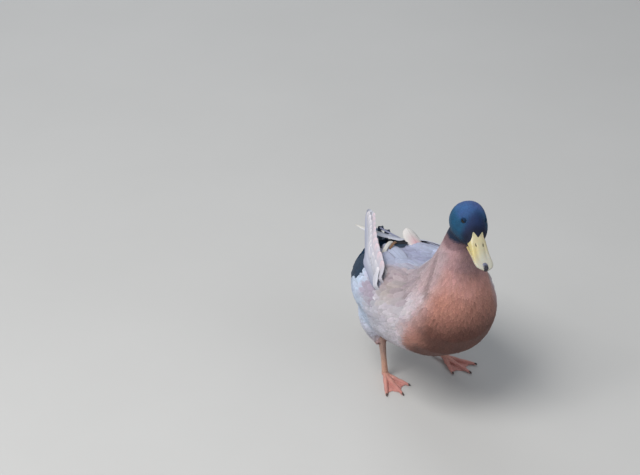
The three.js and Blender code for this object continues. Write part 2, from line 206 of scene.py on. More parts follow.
def spine_place(points):
    """For each point, its place along the spine and its angle round it (0 side, 90 back)."""
    found = np.empty(len(points), int)
    for start in range(0, len(points), 4000):
        some = points[start : start + 4000]
        away = np.linalg.norm(some[:, None] - SPINE[None, :, :3], axis=2)
        reach = (SPINE[:, 3] + SPINE[:, 4] + SPINE[:, 5]) / 3
        found[start : start + 4000] = np.argmin(away - 0.6 * reach, axis=1)
    off = points - SPINE[found, :3]
    rise = np.einsum("ij,ij->i", off, SPINE_UP[found])
    return SPINE_T[found], np.degrees(np.arctan2(rise, np.abs(off[:, 0]))), found, off[:, 0]


def head_place(points):
    """Points in the skull's own frame: to the bird's left, forward, up."""
    back = np.array(HEAD.inverted())
    local = points @ back[:3, :3].T + back[:3, 3]
    return local * (1, -1, 1)


def in_head(x, forward, z):
    """A point given in the skull's own frame."""
    return HEAD @ Vector((x, -forward, z))


def sway(points, size, seed=0.0):
    """Gentle uneven patches, from -1 to 1, about size millimetres across."""
    p = points / size + seed
    a = np.sin(p[:, 0] * 2.1 + 1.7 * np.sin(p[:, 1] * 1.3 + seed)) * np.sin(p[:, 2] * 1.9 + p[:, 1])
    b = np.sin(p[:, 1] * 2.7 + 1.1 * np.sin(p[:, 2] * 2.3)) * np.sin(p[:, 0] * 1.4 - p[:, 2] * 1.1 + seed)
    return (a + b) / 2


# ---- Sizes and colours a user would change -------------------------------------------------


def length_of(name, default, note):
    """A size in millimetres, kept in metres as Blender's lengths are."""
    return FloatProperty(name=name, description=note, default=default * MM, unit="LENGTH", precision=4)


def colour_of(name, default, note):
    return FloatVectorProperty(
        name=name, description=note, default=default, subtype="COLOR", size=3, min=0, max=1
    )


class DrakeSizes(bpy.types.PropertyGroup):
    skin_grain: length_of("Skin grain", 1.7, "Size of the faces of the skin")
    head_depth: length_of("Head coat", 0.8, "How far the skin of the head lies inside the coat")
    neck_depth: length_of("Neck coat", 1.3, "How far the skin of the neck lies inside the coat")
    body_depth: length_of("Body coat", 1.1, "How far the skin of the body lies inside the coat")
    head_spacing: length_of("Head spacing", 1.2, "Distance between feathers on the head")
    neck_spacing: length_of("Neck spacing", 1.833, "Distance between feathers on the neck")
    breast_spacing: length_of("Breast spacing", 2.726, "Distance between feathers on the breast")
    back_spacing: length_of("Back spacing", 5.2, "Distance between feathers on the back")
    seed: IntProperty(name="Seed", description="Start of the random draws", default=11, min=0)


class DrakeColours(bpy.types.PropertyGroup):
    # Partly the crown's own blue, partly a painted highlight where light falls on the top of the head.
    crown: colour_of("Crown", (0.018, 0.098, 0.235), "Blue of the crown")
    violet: colour_of("Violet", (0.045, 0.042, 0.175), "Violet cast over the crown")
    cheek: colour_of("Cheek", (0.004, 0.058, 0.125), "Teal of the cheeks")
    lore: colour_of("Lores", (0.003, 0.006, 0.024), "Navy of the forehead and lores")
    collar: colour_of("Collar", (0.060, 0.032, 0.048), "Plum where the head meets the neck")
    neck: colour_of("Neck", (0.440, 0.265, 0.275), "Dusky pink of the neck")
    nape: colour_of("Nape", (0.420, 0.325, 0.345), "Pale pinkish grey of the nape and shoulders")
    breast: colour_of("Breast", (0.490, 0.230, 0.178), "Rusty pink of the breast")
    # Partly the breast's own brown, partly painted shade low on the breast.
    low_breast_and_shade: colour_of("Low breast", (0.120, 0.048, 0.036), "Brown low on the breast")
    belly: colour_of("Belly", (0.250, 0.170, 0.160), "Grey pink of the belly")
    side: colour_of("Side", (0.590, 0.540, 0.585), "Pinkish grey of the flank's front")
    # Pale rear flank feathers, with their blue partly painted skylight.
    flank: colour_of("Flank", (0.480, 0.560, 0.700), "Pale blue of the rear flank")
    back: colour_of("Back", (0.400, 0.440, 0.575), "Pale blue of the back")
    mantle: colour_of("Mantle", (0.310, 0.325, 0.460), "Lavender along the top of the back")
    coverts: colour_of("Coverts", (0.320, 0.260, 0.280), "Pinkish grey of the wing coverts")
    vane: colour_of("Flight feathers", (0.580, 0.595, 0.670), "Pale flight feathers")
    edge: colour_of("Flight feather edges", (0.330, 0.350, 0.470), "Lavender of the outermost ones")
    cream: colour_of("Cream", (0.640, 0.555, 0.545), "Pinkish cream of the inner flight feathers")
    tan: colour_of("Tan", (0.235, 0.130, 0.070), "Orange brown under the curved tertial")
    rump: colour_of("Rump", (0.002, 0.022, 0.055), "Dark teal of the rump and curls")
    bill_base: colour_of("Bill base", (0.520, 0.435, 0.185), "Yellow of the bill")
    bill_tip: colour_of("Bill tip", (0.455, 0.445, 0.375), "Cream of the bill's end")
    nail: colour_of("Nail", (0.018, 0.018, 0.028), "Dark nail of the bill")
    leg: colour_of("Legs", (0.620, 0.370, 0.270), "Orange of the legs")
    shank: colour_of("Upper shanks", (0.440, 0.290, 0.240), "Pinkish tan above the feet")
    web: colour_of("Webs", (0.560, 0.190, 0.200), "Red of the webs")


def sizes():
    """The sizes as the scene holds them."""
    return bpy.context.scene.drake_sizes


def colours():
    """The colours as the scene holds them."""
    return bpy.context.scene.drake_colours


def tint(name):
    """One colour as an array."""
    return np.array(getattr(colours(), name))


# ---- Materials -----------------------------------------------------------------------------


class Wire:
    """An output socket, with Python's arithmetic written as Math nodes."""

    def __init__(self, recipe, socket):
        self.recipe, self.socket = recipe, socket

    def maths(self, operation, *values):
        node = self.recipe.node("ShaderNodeMath", {"operation": operation}, dict(enumerate(values)))
        return Wire(self.recipe, node.outputs[0])

    def __add__(self, other):
        return self.maths("ADD", self, other)

    def __sub__(self, other):
        return self.maths("SUBTRACT", self, other)

    def __rsub__(self, other):
        return self.maths("SUBTRACT", other, self)

    def __mul__(self, other):
        return self.maths("MULTIPLY", self, other)

    __radd__, __rmul__ = __add__, __mul__

    def sine(self):
        return self.maths("SINE", self)

    def size(self):
        return self.maths("ABSOLUTE", self)

    def ease(self, low, high):
        """0 below low, 1 above high, and smooth between them."""
        values = {"Value": self, "From Min": low, "From Max": high}
        node = self.recipe.node("ShaderNodeMapRange", {"interpolation_type": "SMOOTHSTEP"}, values)
        return Wire(self.recipe, node.outputs[0])


class Recipe:
    """A material in the making: one Principled shader and the nodes that feed it."""

    def __init__(self, name, **constants):
        self.material = bpy.data.materials.new(name)
        self.material.use_nodes = True
        self.tree = self.material.node_tree
        self.shader = self.tree.nodes["Principled BSDF"]
        for socket, value in constants.items():
            self.shader.inputs[socket.replace("_", " ")].default_value = value

    def node(self, kind, settings=None, values=None):
        """A node of a kind, with its settings and then the values or links of its sockets."""
        node = self.tree.nodes.new(kind)
        for name, value in (settings or {}).items():
            setattr(node, name, value)
        for name, value in (values or {}).items():
            if isinstance(value, Wire):
                self.tree.links.new(value.socket, node.inputs[name])
            else:
                node.inputs[name].default_value = value
        return node

    def read(self, kind, output=0, settings=None, values=None):
        return Wire(self, self.node(kind, settings, values).outputs[output])

    def attribute(self):
        """The colour that the piece's points hold."""
        return self.read("ShaderNodeAttribute", "Color", {"attribute_name": "marking"})

    def vane(self):
        """Across and along a feather, each from 0 to 1."""
        place = self.read("ShaderNodeUVMap", 0, {"uv_map": "vane"})
        parts = self.node("ShaderNodeSeparateXYZ", None, {0: place})
        return Wire(self, parts.outputs[0]), Wire(self, parts.outputs[1])

    def noise(self, scale, detail):
        place = self.read("ShaderNodeTexCoord", "Object")
        values = {"Vector": place, "Scale": scale, "Detail": detail, "Roughness": 0.55}
        return self.read("ShaderNodeTexNoise", 0, None, values)

    def from_scale_edge(self, scale):
        """Distance from the edges between scales."""
        values = {"Vector": self.read("ShaderNodeTexCoord", "Object"), "Scale": scale}
        return self.read("ShaderNodeTexVoronoi", "Distance", {"feature": "DISTANCE_TO_EDGE"}, values)

    def mixed(self, a, b, factor):
        """Colour a moved towards colour b."""
        a, b = (tone if isinstance(tone, Wire) else (*tone, 1) for tone in (a, b))
        return self.read("ShaderNodeMix", 2, {"data_type": "RGBA"}, {0: factor, 6: a, 7: b})

    def scaled(self, colour, gain):
        return self.read("ShaderNodeVectorMath", 0, {"operation": "SCALE"}, {0: colour, "Scale": gain})

    def feed(self, **sockets):
        for name, wire in sockets.items():
            self.tree.links.new(wire.socket, self.shader.inputs[name.replace("_", " ")])
        return self

    def bump(self, height, distance, strength=1.0):
        values = {"Height": height, "Distance": distance, "Strength": strength}
        return self.feed(Normal=self.read("ShaderNodeBump", 0, None, values))


def plumage(name, fringe, shaft, barbs, gloss=0.0, rough=0.62):
    """Feathers: their marking, paler at the fringe and darker at the shaft, with fine barbs."""
    sheen = 0.0 if gloss else 0.05
    m = Recipe(name, Sheen_Weight=sheen, Sheen_Roughness=0.5, Specular_IOR_Level=0.25 + gloss)
    across, along = m.vane()
    side = (across - 0.5).size() * 2
    rim = side.ease(0.6, 1.0) * 0.4 + along.ease(0.75, 1.0)
    speck = m.noise(900, 2).ease(0.3, 0.75)
    strokes = ((along * 2.2 - side * 0.9) * barbs).sine() * 0.5 + 0.5
    gain = (rim * fringe + 1) * (1 - speck * 0.10) * (1 - (1 - along.ease(0.0, 0.45)) * 0.2)
    gain = gain * (1 - (1 - side.ease(0.0, 0.10)) * shaft) * (1 - strokes * 0.05)
    m.feed(Base_Color=m.scaled(m.attribute(), gain), Roughness=rough - gloss * 0.5 + speck * 0.1)
    m.bump(strokes + (1 - side.ease(0.0, 0.12)) * 1.5, 0.00012, 0.45)
    return m.material


def underskin(name):
    """The skin between the feathers: the same markings, darker, as down is in shade."""
    m = Recipe(name, Specular_IOR_Level=0.2, Sheen_Weight=0.1)
    grain = m.noise(700, 3)
    m.feed(Base_Color=m.mixed(m.attribute(), (0, 0, 0), grain * 0.2 + 0.08), Roughness=grain * 0.2 + 0.75)
    m.bump(grain, 0.0004, 0.5)
    return m.material


def bill_horn(name):
    """Smooth, slightly waxy bill skin with faint mottling."""
    m = Recipe(name, Subsurface_Weight=0.06, Subsurface_Scale=0.004, Coat_Roughness=0.25)
    m.shader.inputs["Specular IOR Level"].default_value = 0.45
    blotch = m.noise(260, 4).ease(0.35, 0.8)
    fine = m.noise(2200, 3)
    tone = m.mixed(m.attribute(), (0.30, 0.24, 0.16), blotch * 0.16)
    m.feed(Base_Color=tone, Roughness=fine * 0.16 + blotch * 0.10 + 0.27, Coat_Weight=0.25 - blotch * 0.15)
    m.bump(fine * 0.4 + blotch, 0.00018, 0.35)
    return m.material


def nail_horn(name):
    """Dark horn of the nail and claws, streaked paler."""
    m = Recipe(name, Specular_IOR_Level=0.5, Coat_Roughness=0.2)
    streak = m.noise(900, 4)
    tone = m.mixed(m.attribute(), (0.20, 0.20, 0.24), streak.ease(0.5, 0.9) * 0.35)
    m.feed(Base_Color=tone, Roughness=streak * 0.2 + 0.24)
    m.bump(streak, 0.0001, 0.3)
    return m.material


def lid_skin(name):
    """Thin dark skin of the eyelids, finely creased."""
    m = Recipe(name, Specular_IOR_Level=0.12)
    crease = m.noise(2600, 3)
    m.feed(Base_Color=m.scaled(m.attribute(), crease * 0.7 + 0.65), Roughness=crease * 0.2 + 0.6)
    m.bump(crease, 0.00012, 0.5)
    return m.material


def eye_wet(name):
    """The wet, nearly black eye."""
    m = Recipe(name, Roughness=0.05, Specular_IOR_Level=0.4)
    ray = m.noise(1500, 2)
    m.feed(Base_Color=m.mixed(m.attribute(), (0.0, 0.0, 0.0), ray * 0.5))
    return m.material


def bare_skin(name):
    """Scaly skin of the legs and webs."""
    m = Recipe(name, Specular_IOR_Level=0.4, Subsurface_Weight=0.05, Subsurface_Scale=0.003)
    plates = m.from_scale_edge(620).ease(0.0, 0.12)
    blotch = m.noise(300, 3).ease(0.35, 0.8)
    tone = m.mixed(m.attribute(), (0.08, 0.03, 0.03), (1 - plates) * 0.45)
    tone = m.mixed(tone, (0.55, 0.36, 0.28), blotch * 0.14)
    m.feed(Base_Color=tone, Roughness=0.5 + blotch * 0.15 - plates * 0.1)
    m.bump(plates, 0.00025, 0.6)
    return m.material


def floor_paint(name):
    """Plain pale grey."""
    m = Recipe(name, Specular_IOR_Level=0.25)
    mottle = m.noise(3, 4)
    tone = m.mixed((0.46, 0.46, 0.45), (0.50, 0.50, 0.49), mottle)
    m.feed(Base_Color=tone, Roughness=mottle * 0.1 + 0.7)
    return m.material


# ---- Making pieces -------------------------------------------------------------------------


def keep_piece(mesh, name, material, slot, *nodes):
    """Puts a finished mesh in the scene, on the bird's body, in place of its CAD nodes."""
    obj = bpy.data.objects.new(name, mesh)
    bpy.context.scene.collection.objects.link(obj)
    mesh.materials.clear()
    mesh.materials.append(material)
    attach(obj, "root")
    if nodes:
        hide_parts(*nodes)
    return obj


def taken(bm, name):
    """A mesh with what the bmesh holds. The bmesh is freed."""
    mesh = bpy.data.meshes.new(name)
    bm.to_mesh(mesh)
    bm.free()
    return mesh


def put_in(bm, mesh):
    """Adds a spare mesh to the bmesh and removes it."""
    bm.from_mesh(mesh)
    bpy.data.meshes.remove(mesh)


def in_row_frame(bm):
    """Faces a drawn bmesh outwards and lays it on the row frame."""
    bmesh.ops.recalc_face_normals(bm, faces=bm.faces)
    bmesh.ops.transform(bm, matrix=TO_ROW, verts=bm.verts)


def mesh_of(bm, name):
    """A smooth mesh in the row frame from a bmesh drawn in millimetres."""
    in_row_frame(bm)
    mesh = taken(bm, name)
    mesh.shade_smooth()
    return mesh


def evened(context, mesh, grain, soften=0):
    """The mesh as one closed skin of even faces, softened a few times."""
    obj = bpy.data.objects.new(mesh.name, mesh)
    context.scene.collection.objects.link(obj)
    remesh = obj.modifiers.new("even", "REMESH")
    remesh.mode = "VOXEL"
    remesh.voxel_size = grain
    if soften:
        smooth = obj.modifiers.new("soften", "SMOOTH")
        smooth.iterations, smooth.factor = soften, 0.5
    shaped = bpy.data.meshes.new_from_object(obj.evaluated_get(context.evaluated_depsgraph_get()))
    bpy.data.objects.remove(obj)
    return shaped


def softened(bm, times):
    """Moves each point halfway to the middle of its neighbours, a few times."""
    for _ in range(times):
        bmesh.ops.smooth_vert(
            bm, verts=bm.verts, factor=0.5, use_axis_x=True, use_axis_y=True, use_axis_z=True
        )


def drawn(mesh):
    """A mesh's points, back in the drawing's millimetres."""
    flat = np.empty(len(mesh.vertices) * 3, np.float32)
    mesh.vertices.foreach_get("co", flat)
    return flat.reshape(-1, 3).astype(float) / MM - np.array(SHIFT)


def mark(mesh, tones):
    """Writes a colour for each point of a mesh."""
    layer = mesh.color_attributes.new("marking", "FLOAT_COLOR", "POINT")
    rgba = np.ones((len(mesh.vertices), 4), np.float32)
    rgba[:, :3] = np.clip(tones, 0, 1)
    layer.data.foreach_set("color", rgba.ravel())


def faces_of(verts):
    """The faces on some points, each once and always in the same order."""
    return list(dict.fromkeys(face for vert in verts for face in vert.link_faces))


def loft(bm, rings):
    """Bridges rings of as many points each into one skin, with its ends filled."""
    loops = []
    for ring in rings:
        made = bmesh.ops.create_circle(bm, segments=len(ring), radius=1)["verts"]
        for vert, place in zip(made, ring):
            vert.co = place
        loops.append(made)
    for low, high in zip(loops, loops[1:]):
        edges = {e for v in low + high for e in v.link_edges if e.other_vert(v) in set(low + high)}
        edges = [e for e in edges if (e.verts[0] in low) == (e.verts[1] in low)]
        bmesh.ops.bridge_loops(bm, edges=edges)
    for ring in (loops[0], loops[-1]):
        bmesh.ops.contextual_create(bm, geom=ring)


# ---- Markings of the plumage ---------------------------------------------------------------


def blended(tones, other, mask):
    """Tones moved towards another tone, or row of tones, by a share for each point."""
    return tones + (np.asarray(other) - tones) * np.clip(mask, 0, 1)[:, None]


def markings(p):
    """The plumage's colour at each point of the drawing."""
    t, angle, _, _ = spine_place(p)
    hx, forward, hz = head_place(p).T
    x, y, z = p.T
    patch = sway(p, 18)
    fine = sway(p, 6, 3.0)

    drift = 5 * patch + 3 * sway(p, 7, 2.0)
    tones = np.tile(tint("breast"), (len(p), 1))
    # The breast goes brown low down: partly its own colour, partly painted shade under the body.
    low = drift + 1.3 * np.clip(145 - z, 0, 60)
    tones = blended(tones, tint("low_breast_and_shade"), ease(drift - z, -230, -155) * ease(low - y, 62, 100))
    tones = blended(tones, tint("belly"), ease(-angle, 52, 76) * ease(y, -50, -5))
    tones = blended(tones, tint("neck"), ease(t + 0.02 * patch, 0.64, 0.80))
    # The nape, the sides of the neck and the shoulders are paler and greyer.
    pale = ease(angle + 5 * patch, -42, -4) * ease(t, 0.48, 0.56) * ease(-t, -0.90, -0.80)
    tones = blended(tones, tint("nape"), pale * 0.85)
    # Darker at the front of the neck under the bill: partly its own tone, partly painted shade under the
    # bill.
    throat_tone_and_shade = ease(z + drift, 236, 256) * ease(-np.abs(x - 4) + drift, -24, -8) * ease(-y, 92, 106)
    tones = tones * (1 - 0.35 * throat_tone_and_shade[:, None])
    # The flanks are pinkish grey in front, with a pinker stripe, and pale behind, where their blue is
    # partly painted skylight.
    side = blended(np.tile(tint("side"), (len(p), 1)), tint("flank"), ease(y + drift, -46, 44) * 0.45)
    side = blended(side, tint("flank"), ease(y + drift, 26, 44) * ease(z, 84, 110))
    stripe = ease(y + drift, 0, 14) * ease(drift - y, -60, -44) * ease(z + drift, 150, 170)
    side = blended(side, (0.34, 0.28, 0.35), stripe * 0.85)
    side = blended(side, tint("belly"), 0.5 * ease(drift - z, -122, -84) * ease(-y, -48, -20))
    side = blended(side, tint("belly"), 0.5 * ease(-z, -84, -58))
    front = ease(y + 0.35 * (z - 144) + drift, -66, -40) * ease(drift - z, -224, -204)
    tones = blended(tones, side, front * ease(angle + 4 * patch, -66, -46))
    # The shoulders, back and wing coverts.
    high = y - 0.51 * np.abs(x) + 1.8 * (z - 170)
    shoulder = ease(y + drift, -70, -44) * ease(z + drift, 176, 206) * ease(angle, -20, 0)
    tones = blended(tones, tint("coverts"), shoulder)
    tones = blended(tones, (0.52, 0.45, 0.48), ease(sway(p, 11, 5.0) + 0.2, -0.2, 0.9) * shoulder * 0.45)
    wrist = np.hypot(np.hypot(np.abs(x) - 80, y + 18), z - 196) + drift
    tones = blended(tones, (0.33, 0.29, 0.265), 0.6 * ease(-wrist, -26, -8))
    edge = 0.50 + 0.15 * ease(angle, 0, 75)
    mantle = ease(edge - t + 0.014 * patch, -0.06, 0.055)
    tones = blended(tones, tint("back"), mantle * ease(high + 1.5 * drift, 52, 88))
    tones = blended(tones, tint("mantle"), mantle * ease(angle + 4 * patch, 60, 82))
    # Rump and vent, dark further forward on the sides under the wings.
    reach = 106 - 30 * ease(np.abs(x), 40, 60) * ease(z, 148, 172) + 0.9 * np.clip(150 - z, 0, 42)
    tones = blended(tones, tint("rump"), ease(y + patch * 3 - reach, -4, 4))
    tones = tones * (1 + 0.07 * sway(p, 12, 9.0) + 0.05 * sway(p, 5, 4.0))[:, None]
    # A shaded crease between each shoulder and the neck.
    start, run = np.array((28.0, -70.0, 272.0)), np.array((19.0, -10.0, -54.0))
    aside = np.stack([np.abs(x), y, z], -1) - start
    part = np.clip(aside @ run / (run @ run), 0, 1)
    crease = 1 - ease(np.linalg.norm(aside - part[:, None] * run, axis=1) + 0.6 * patch, 2, 8)
    tones = tones * (1 - 0.28 * crease[:, None])
    # Head.
    head = ease(z + 2.5 * patch + 1.5 * fine, 303.5, 311.5) * ease(-forward, -60, -30)
    plum = ease(z + 1.5 * patch, 291, 299)
    tones = blended(tones, tint("collar"), plum * 0.6)
    dome = np.tile(tint("cheek"), (len(p), 1))
    # The top of the head is painted brighter blue: partly its own colour, partly a painted highlight.
    dome = blended(dome, tint("crown"), ease(hz, 6, 20) * ease(forward, 22, 6))
    cast = ease(hz + 4 * patch, 10, 18) * ease(-forward, -16, 0) * (0.35 + 0.35 * patch)
    dome = blended(dome, tint("violet"), cast)
    dome = blended(dome, (0.008, 0.018, 0.075), ease(forward + 0.5 * hz + 3 * patch, 15, 27) * 0.9)
    dome = blended(dome, tint("lore"), ease(forward - 0.1 * hz + 2 * patch, 15, 28) * 0.92)
    dome = blended(dome, tint("lore"), ease(-hz, 6, 17) * 0.85)
    tones = blended(tones, dome, head)
    return np.clip(tones * (1 + 0.08 * patch + 0.08 * fine)[:, None], 0, 1)


# ---- Skin ----------------------------------------------------------------------------------


THIGH_DEPTH = 1.2  # how far the skin of the thighs lies inside the coat, in millimetres


def coat_depth(p):
    """How far the skin lies inside the bird's outline, in millimetres."""
    s = sizes()
    t, angle, _, _ = spine_place(p)
    depth = np.full(len(p), s.body_depth / MM)
    depth = depth + (s.neck_depth / MM - depth) * ease(t, 0.66, 0.78)
    depth = depth + (s.head_depth / MM - depth) * ease(p[:, 2], 298, 310)
    return depth + (THIGH_DEPTH - depth) * ease(-p[:, 2], -84, -66)


class DRAKE_OT_skin(bpy.types.Operator):
    """Makes one skin for the flesh, inside its outline by the coat's depth"""

    bl_idname = "drake.skin"
    bl_label = "Skin"

    def execute(self, context):
        bm = bmesh.new()
        for node in FLESH + BILL_ROOTS + EYES:
            one = bmesh.new()
            one.from_mesh(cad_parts[node].data)
            bmesh.ops.remove_doubles(one, verts=one.verts, dist=1e-6)
            if node in BILL_ROOTS:
                self.cut_ahead(one)
            put_in(bm, taken(one, node + "_copy"))
        shaped = evened(context, taken(bm, "skin_form"), sizes().skin_grain)

        bm = bmesh.new()
        put_in(bm, shaped)
        self.keep_largest(bm)
        softened(bm, 5)
        bm.normal_update()
        places = np.array([v.co for v in bm.verts]) / MM - np.array(SHIFT)
        depth = coat_depth(places) * MM
        for vert, inwards in zip(bm.verts, depth):
            vert.co -= vert.normal * inwards
        softened(bm, 2)
        bmesh.ops.recalc_face_normals(bm, faces=bm.faces)
        skin = taken(bm, "skin")
        skin.shade_smooth()
        mark(skin, markings(drawn(skin)))
        keep_piece(skin, "skin", underskin("skin_under_feathers"), "body_feathers", *FLESH)
        return {"FINISHED"}

    def cut_ahead(self, bm):
        """Keeps only the bill's root, which the face grows over, and closes it."""
        ahead = (TO_ROW @ in_head(0, 1, 0) - TO_ROW @ in_head(0, 0, 0)).normalized()
        parts = list(bm.verts) + list(bm.edges) + list(bm.faces)
        cut = bmesh.ops.bisect_plane(
            bm, geom=parts, plane_co=TO_ROW @ in_head(0, 38, 0), plane_no=ahead, clear_outer=True
        )["geom_cut"]
        bmesh.ops.contextual_create(bm, geom=[e for e in cut if isinstance(e, bmesh.types.BMEdge)])

    def keep_largest(self, bm):
        """Drops closed pockets that the even mesh leaves inside."""
        left, parts = set(bm.verts), []
        while left:
            part, edge = set(), [left.pop()]
            while edge:
                vert = edge.pop()
                part.add(vert)
                for near in (e.other_vert(vert) for e in vert.link_edges):
                    if near in left:
                        left.discard(near)
                        edge.append(near)
            parts.append(part)
        keep = max(parts, key=len)
        bmesh.ops.delete(bm, geom=[v for v in bm.verts if v not in keep], context="VERTS")


# ---- Coat ----------------------------------------------------------------------------------


DRAWS = 3.2  # random places tried for each feather that has room


class Hide:
    """The skin as something feathers can be laid on."""

    def __init__(self):
        mesh = bpy.data.objects["skin"].data
        self.points = drawn(mesh)
        mesh.calc_loop_triangles()
        tri = np.empty(len(mesh.loop_triangles) * 3, np.int32)
        mesh.loop_triangles.foreach_get("vertices", tri)
        self.tri = tri.reshape(-1, 3)
        self.tree = BVHTree.FromPolygons(self.points.tolist(), self.tri.tolist())

    def nearest(self, points):
        """The nearest places on the skin and the ways they face."""
        near, facing = np.empty_like(points), np.empty_like(points)
        for i, p in enumerate(points.tolist()):
            place, normal, _, _ = self.tree.find_nearest(p)
            near[i], facing[i] = place, normal
        return near, facing

    def roots(self, spacing, allowed, rng):
        """Even random roots: none closer to another than the spacing there."""
        a, b, c = (self.points[self.tri[:, k]] for k in range(3))
        area = np.linalg.norm(np.cross(b - a, c - a), axis=1) / 2
        middle = (a + b + c) / 3
        weight = area / spacing(middle) ** 2 * (allowed(middle) > 0.02)
        count = int(weight.sum() * DRAWS)
        pick = rng.choice(len(area), size=count, p=weight / weight.sum())
        f, g = np.sqrt(rng.random((count, 1))), rng.random((count, 1))
        points = a[pick] * (1 - f) + b[pick] * f * (1 - g) + c[pick] * f * g
        points = points[rng.random(count) < allowed(points)]
        gap = spacing(points)
        tree = KDTree(len(points))
        for i, p in enumerate(points.tolist()):
            tree.insert(p, i)
        tree.balance()
        alive = np.ones(len(points), bool)
        for i, p in enumerate(points.tolist()):
            if alive[i]:
                for _, j, _ in tree.find_range(p, gap[i]):
                    if j != i:
                        alive[j] = False
        return points[alive]


def lie_of_coat(p, facing):
    """The way feathers point at each place: back from the bill, down the neck, to the tail."""
    _, _, found, _ = spine_place(p)
    way = -SPINE_ALONG[found]
    hx, forward, hz = head_place(p).T
    source = np.array(in_head(0, 33, -3))
    away = unit(p - source)
    down = unit(np.array([0, 0.35, -1.0]))
    turn = ease(np.linalg.norm(p - source, axis=1), 34, 62)[:, None]
    crown = unit(away * (1 - turn) + down * turn)
    top = ease(p[:, 2], 296, 312)[:, None]
    way = way * (1 - top) + crown * top
    leg = (ease(-p[:, 2], -92, -72) * ease(np.abs(p[:, 0]), 24, 34))[:, None]
    way = way * (1 - leg) + np.array([0, 0.35, -0.9]) * leg
    return unit(way - facing * np.einsum("ij,ij->i", way, facing)[:, None])


def coat_spacing(p):
    """Distance between feathers at each place, in millimetres."""
    s = sizes()
    t, angle, _, _ = spine_place(p)
    gap = np.full(len(p), s.breast_spacing / MM)
    gap += (s.back_spacing / MM - gap) * ease(angle, -18, 12) * ease(-t, -0.62, -0.5)
    gap += (4.0 - gap) * ease(p[:, 1], 120, 150)
    gap += (s.neck_spacing / MM - gap) * ease(t, 0.62, 0.80)
    gap += (2.6 - gap) * ease(-p[:, 2], -88, -74)
    hx, forward, hz = head_place(p).T
    gap += (s.head_spacing / MM - gap) * ease(p[:, 2], 302, 312)
    gap *= 1 - 0.3 * ease(forward, 14, 28) * ease(p[:, 2], 300, 310)
    return gap * (1 - 0.45 * ease(-eye_reach(hx, forward, hz), -9, -5.5))


def eye_reach(hx, forward, hz):
    """Distance from the line of sight of the nearer eye, counted shorter ahead of it."""
    ahead = forward + EYE_PLACE.y - 1.1
    ahead = ahead * np.where(ahead > 0, 0.86, 1.45)
    near = np.hypot(ahead, (hz - EYE_PLACE.z - 0.5) * 1.35)
    return np.where(np.abs(hx) > 9, near, 30)


def bill_edge(angle):
    """How far forward the feathers reach round the bill: angle 90 is the forehead's middle."""
    around, reach = np.array(FACE_EDGE, float).T
    return sum(np.interp(np.asarray(angle, float) + off, around, reach) for off in (-4, 0, 4)) / 3


def feathered(p):
    """1 where feathers grow and 0 on the bill and the eyes."""
    hx, forward, hz = head_place(p).T
    angle = np.degrees(np.arctan2(hz + 3, np.abs(hx)))
    grows = 1 - ease(forward - bill_edge(angle), -0.3, 0.5)
    grows = np.where((forward > 29) & (hz < -12.5) & (np.abs(hx) < 10.5), 0, grows)
    grows = grows * ease(eye_reach(hx, forward, hz), 4.6, 5.1)
    return np.where((np.abs(hx) < 30) & (forward < 45) & (hz > -24), grows, 1.0)


SOFTNESS = 0.8  # how far a small feather is lit like the skin under it
SHOWN_PART = 0.65  # how far along a feather lies the part that its neighbours leave open
CAMBER = 0.28  # how far a small feather's edges bend down, as a share of its half width
BAKE_PATCH = 0.003  # size of each feather's patch on the OFBake map

COAT_FORMS = {
    # name: columns, rows, length and half width in spacings, lift of the tip, ragged tip
    "head": (3, 4, 3.6, 0.92, 0.45, 0.15),
    "neck": (3, 5, 4.2, 0.95, 0.65, 0.13),
    "breast": (5, 6, 4.2, 0.92, 0.8, 0.13),
    "flank": (5, 6, 4.2, 0.92, 0.9, 0.12),
    "back": (5, 7, 3.6, 0.90, 0.9, 0.08),
    "rump": (5, 6, 3.6, 0.82, 1.2, 0.12),
    "thigh": (3, 5, 4.4, 0.90, 0.9, 0.13),
}


def coat_region(p):
    """The name of the part of the coat that each root belongs to."""
    t, angle, _, _ = spine_place(p)
    names = np.full(len(p), "breast", dtype=object)
    names[(p[:, 1] > 0) & (angle < -18)] = "flank"
    names[(angle > -18) & (t < 0.60)] = "back"
    names[p[:, 1] > 135] = "rump"
    names[(p[:, 2] < 86) & (np.abs(p[:, 0]) > 22)] = "thigh"
    names[p[:, 2] > 244] = "neck"
    names[p[:, 2] > 307] = "head"
    return names


def outline(v):
    """Half width along a feather: narrow at the root, full past the middle, round at the tip."""
    tip = np.clip((v - 0.45) / 0.57, 0, 1) ** 2.4
    return np.clip(np.minimum(1, 0.35 + 1.8 * v), 0, 1) * np.sqrt(np.clip(1 - tip, 0.05, 1))


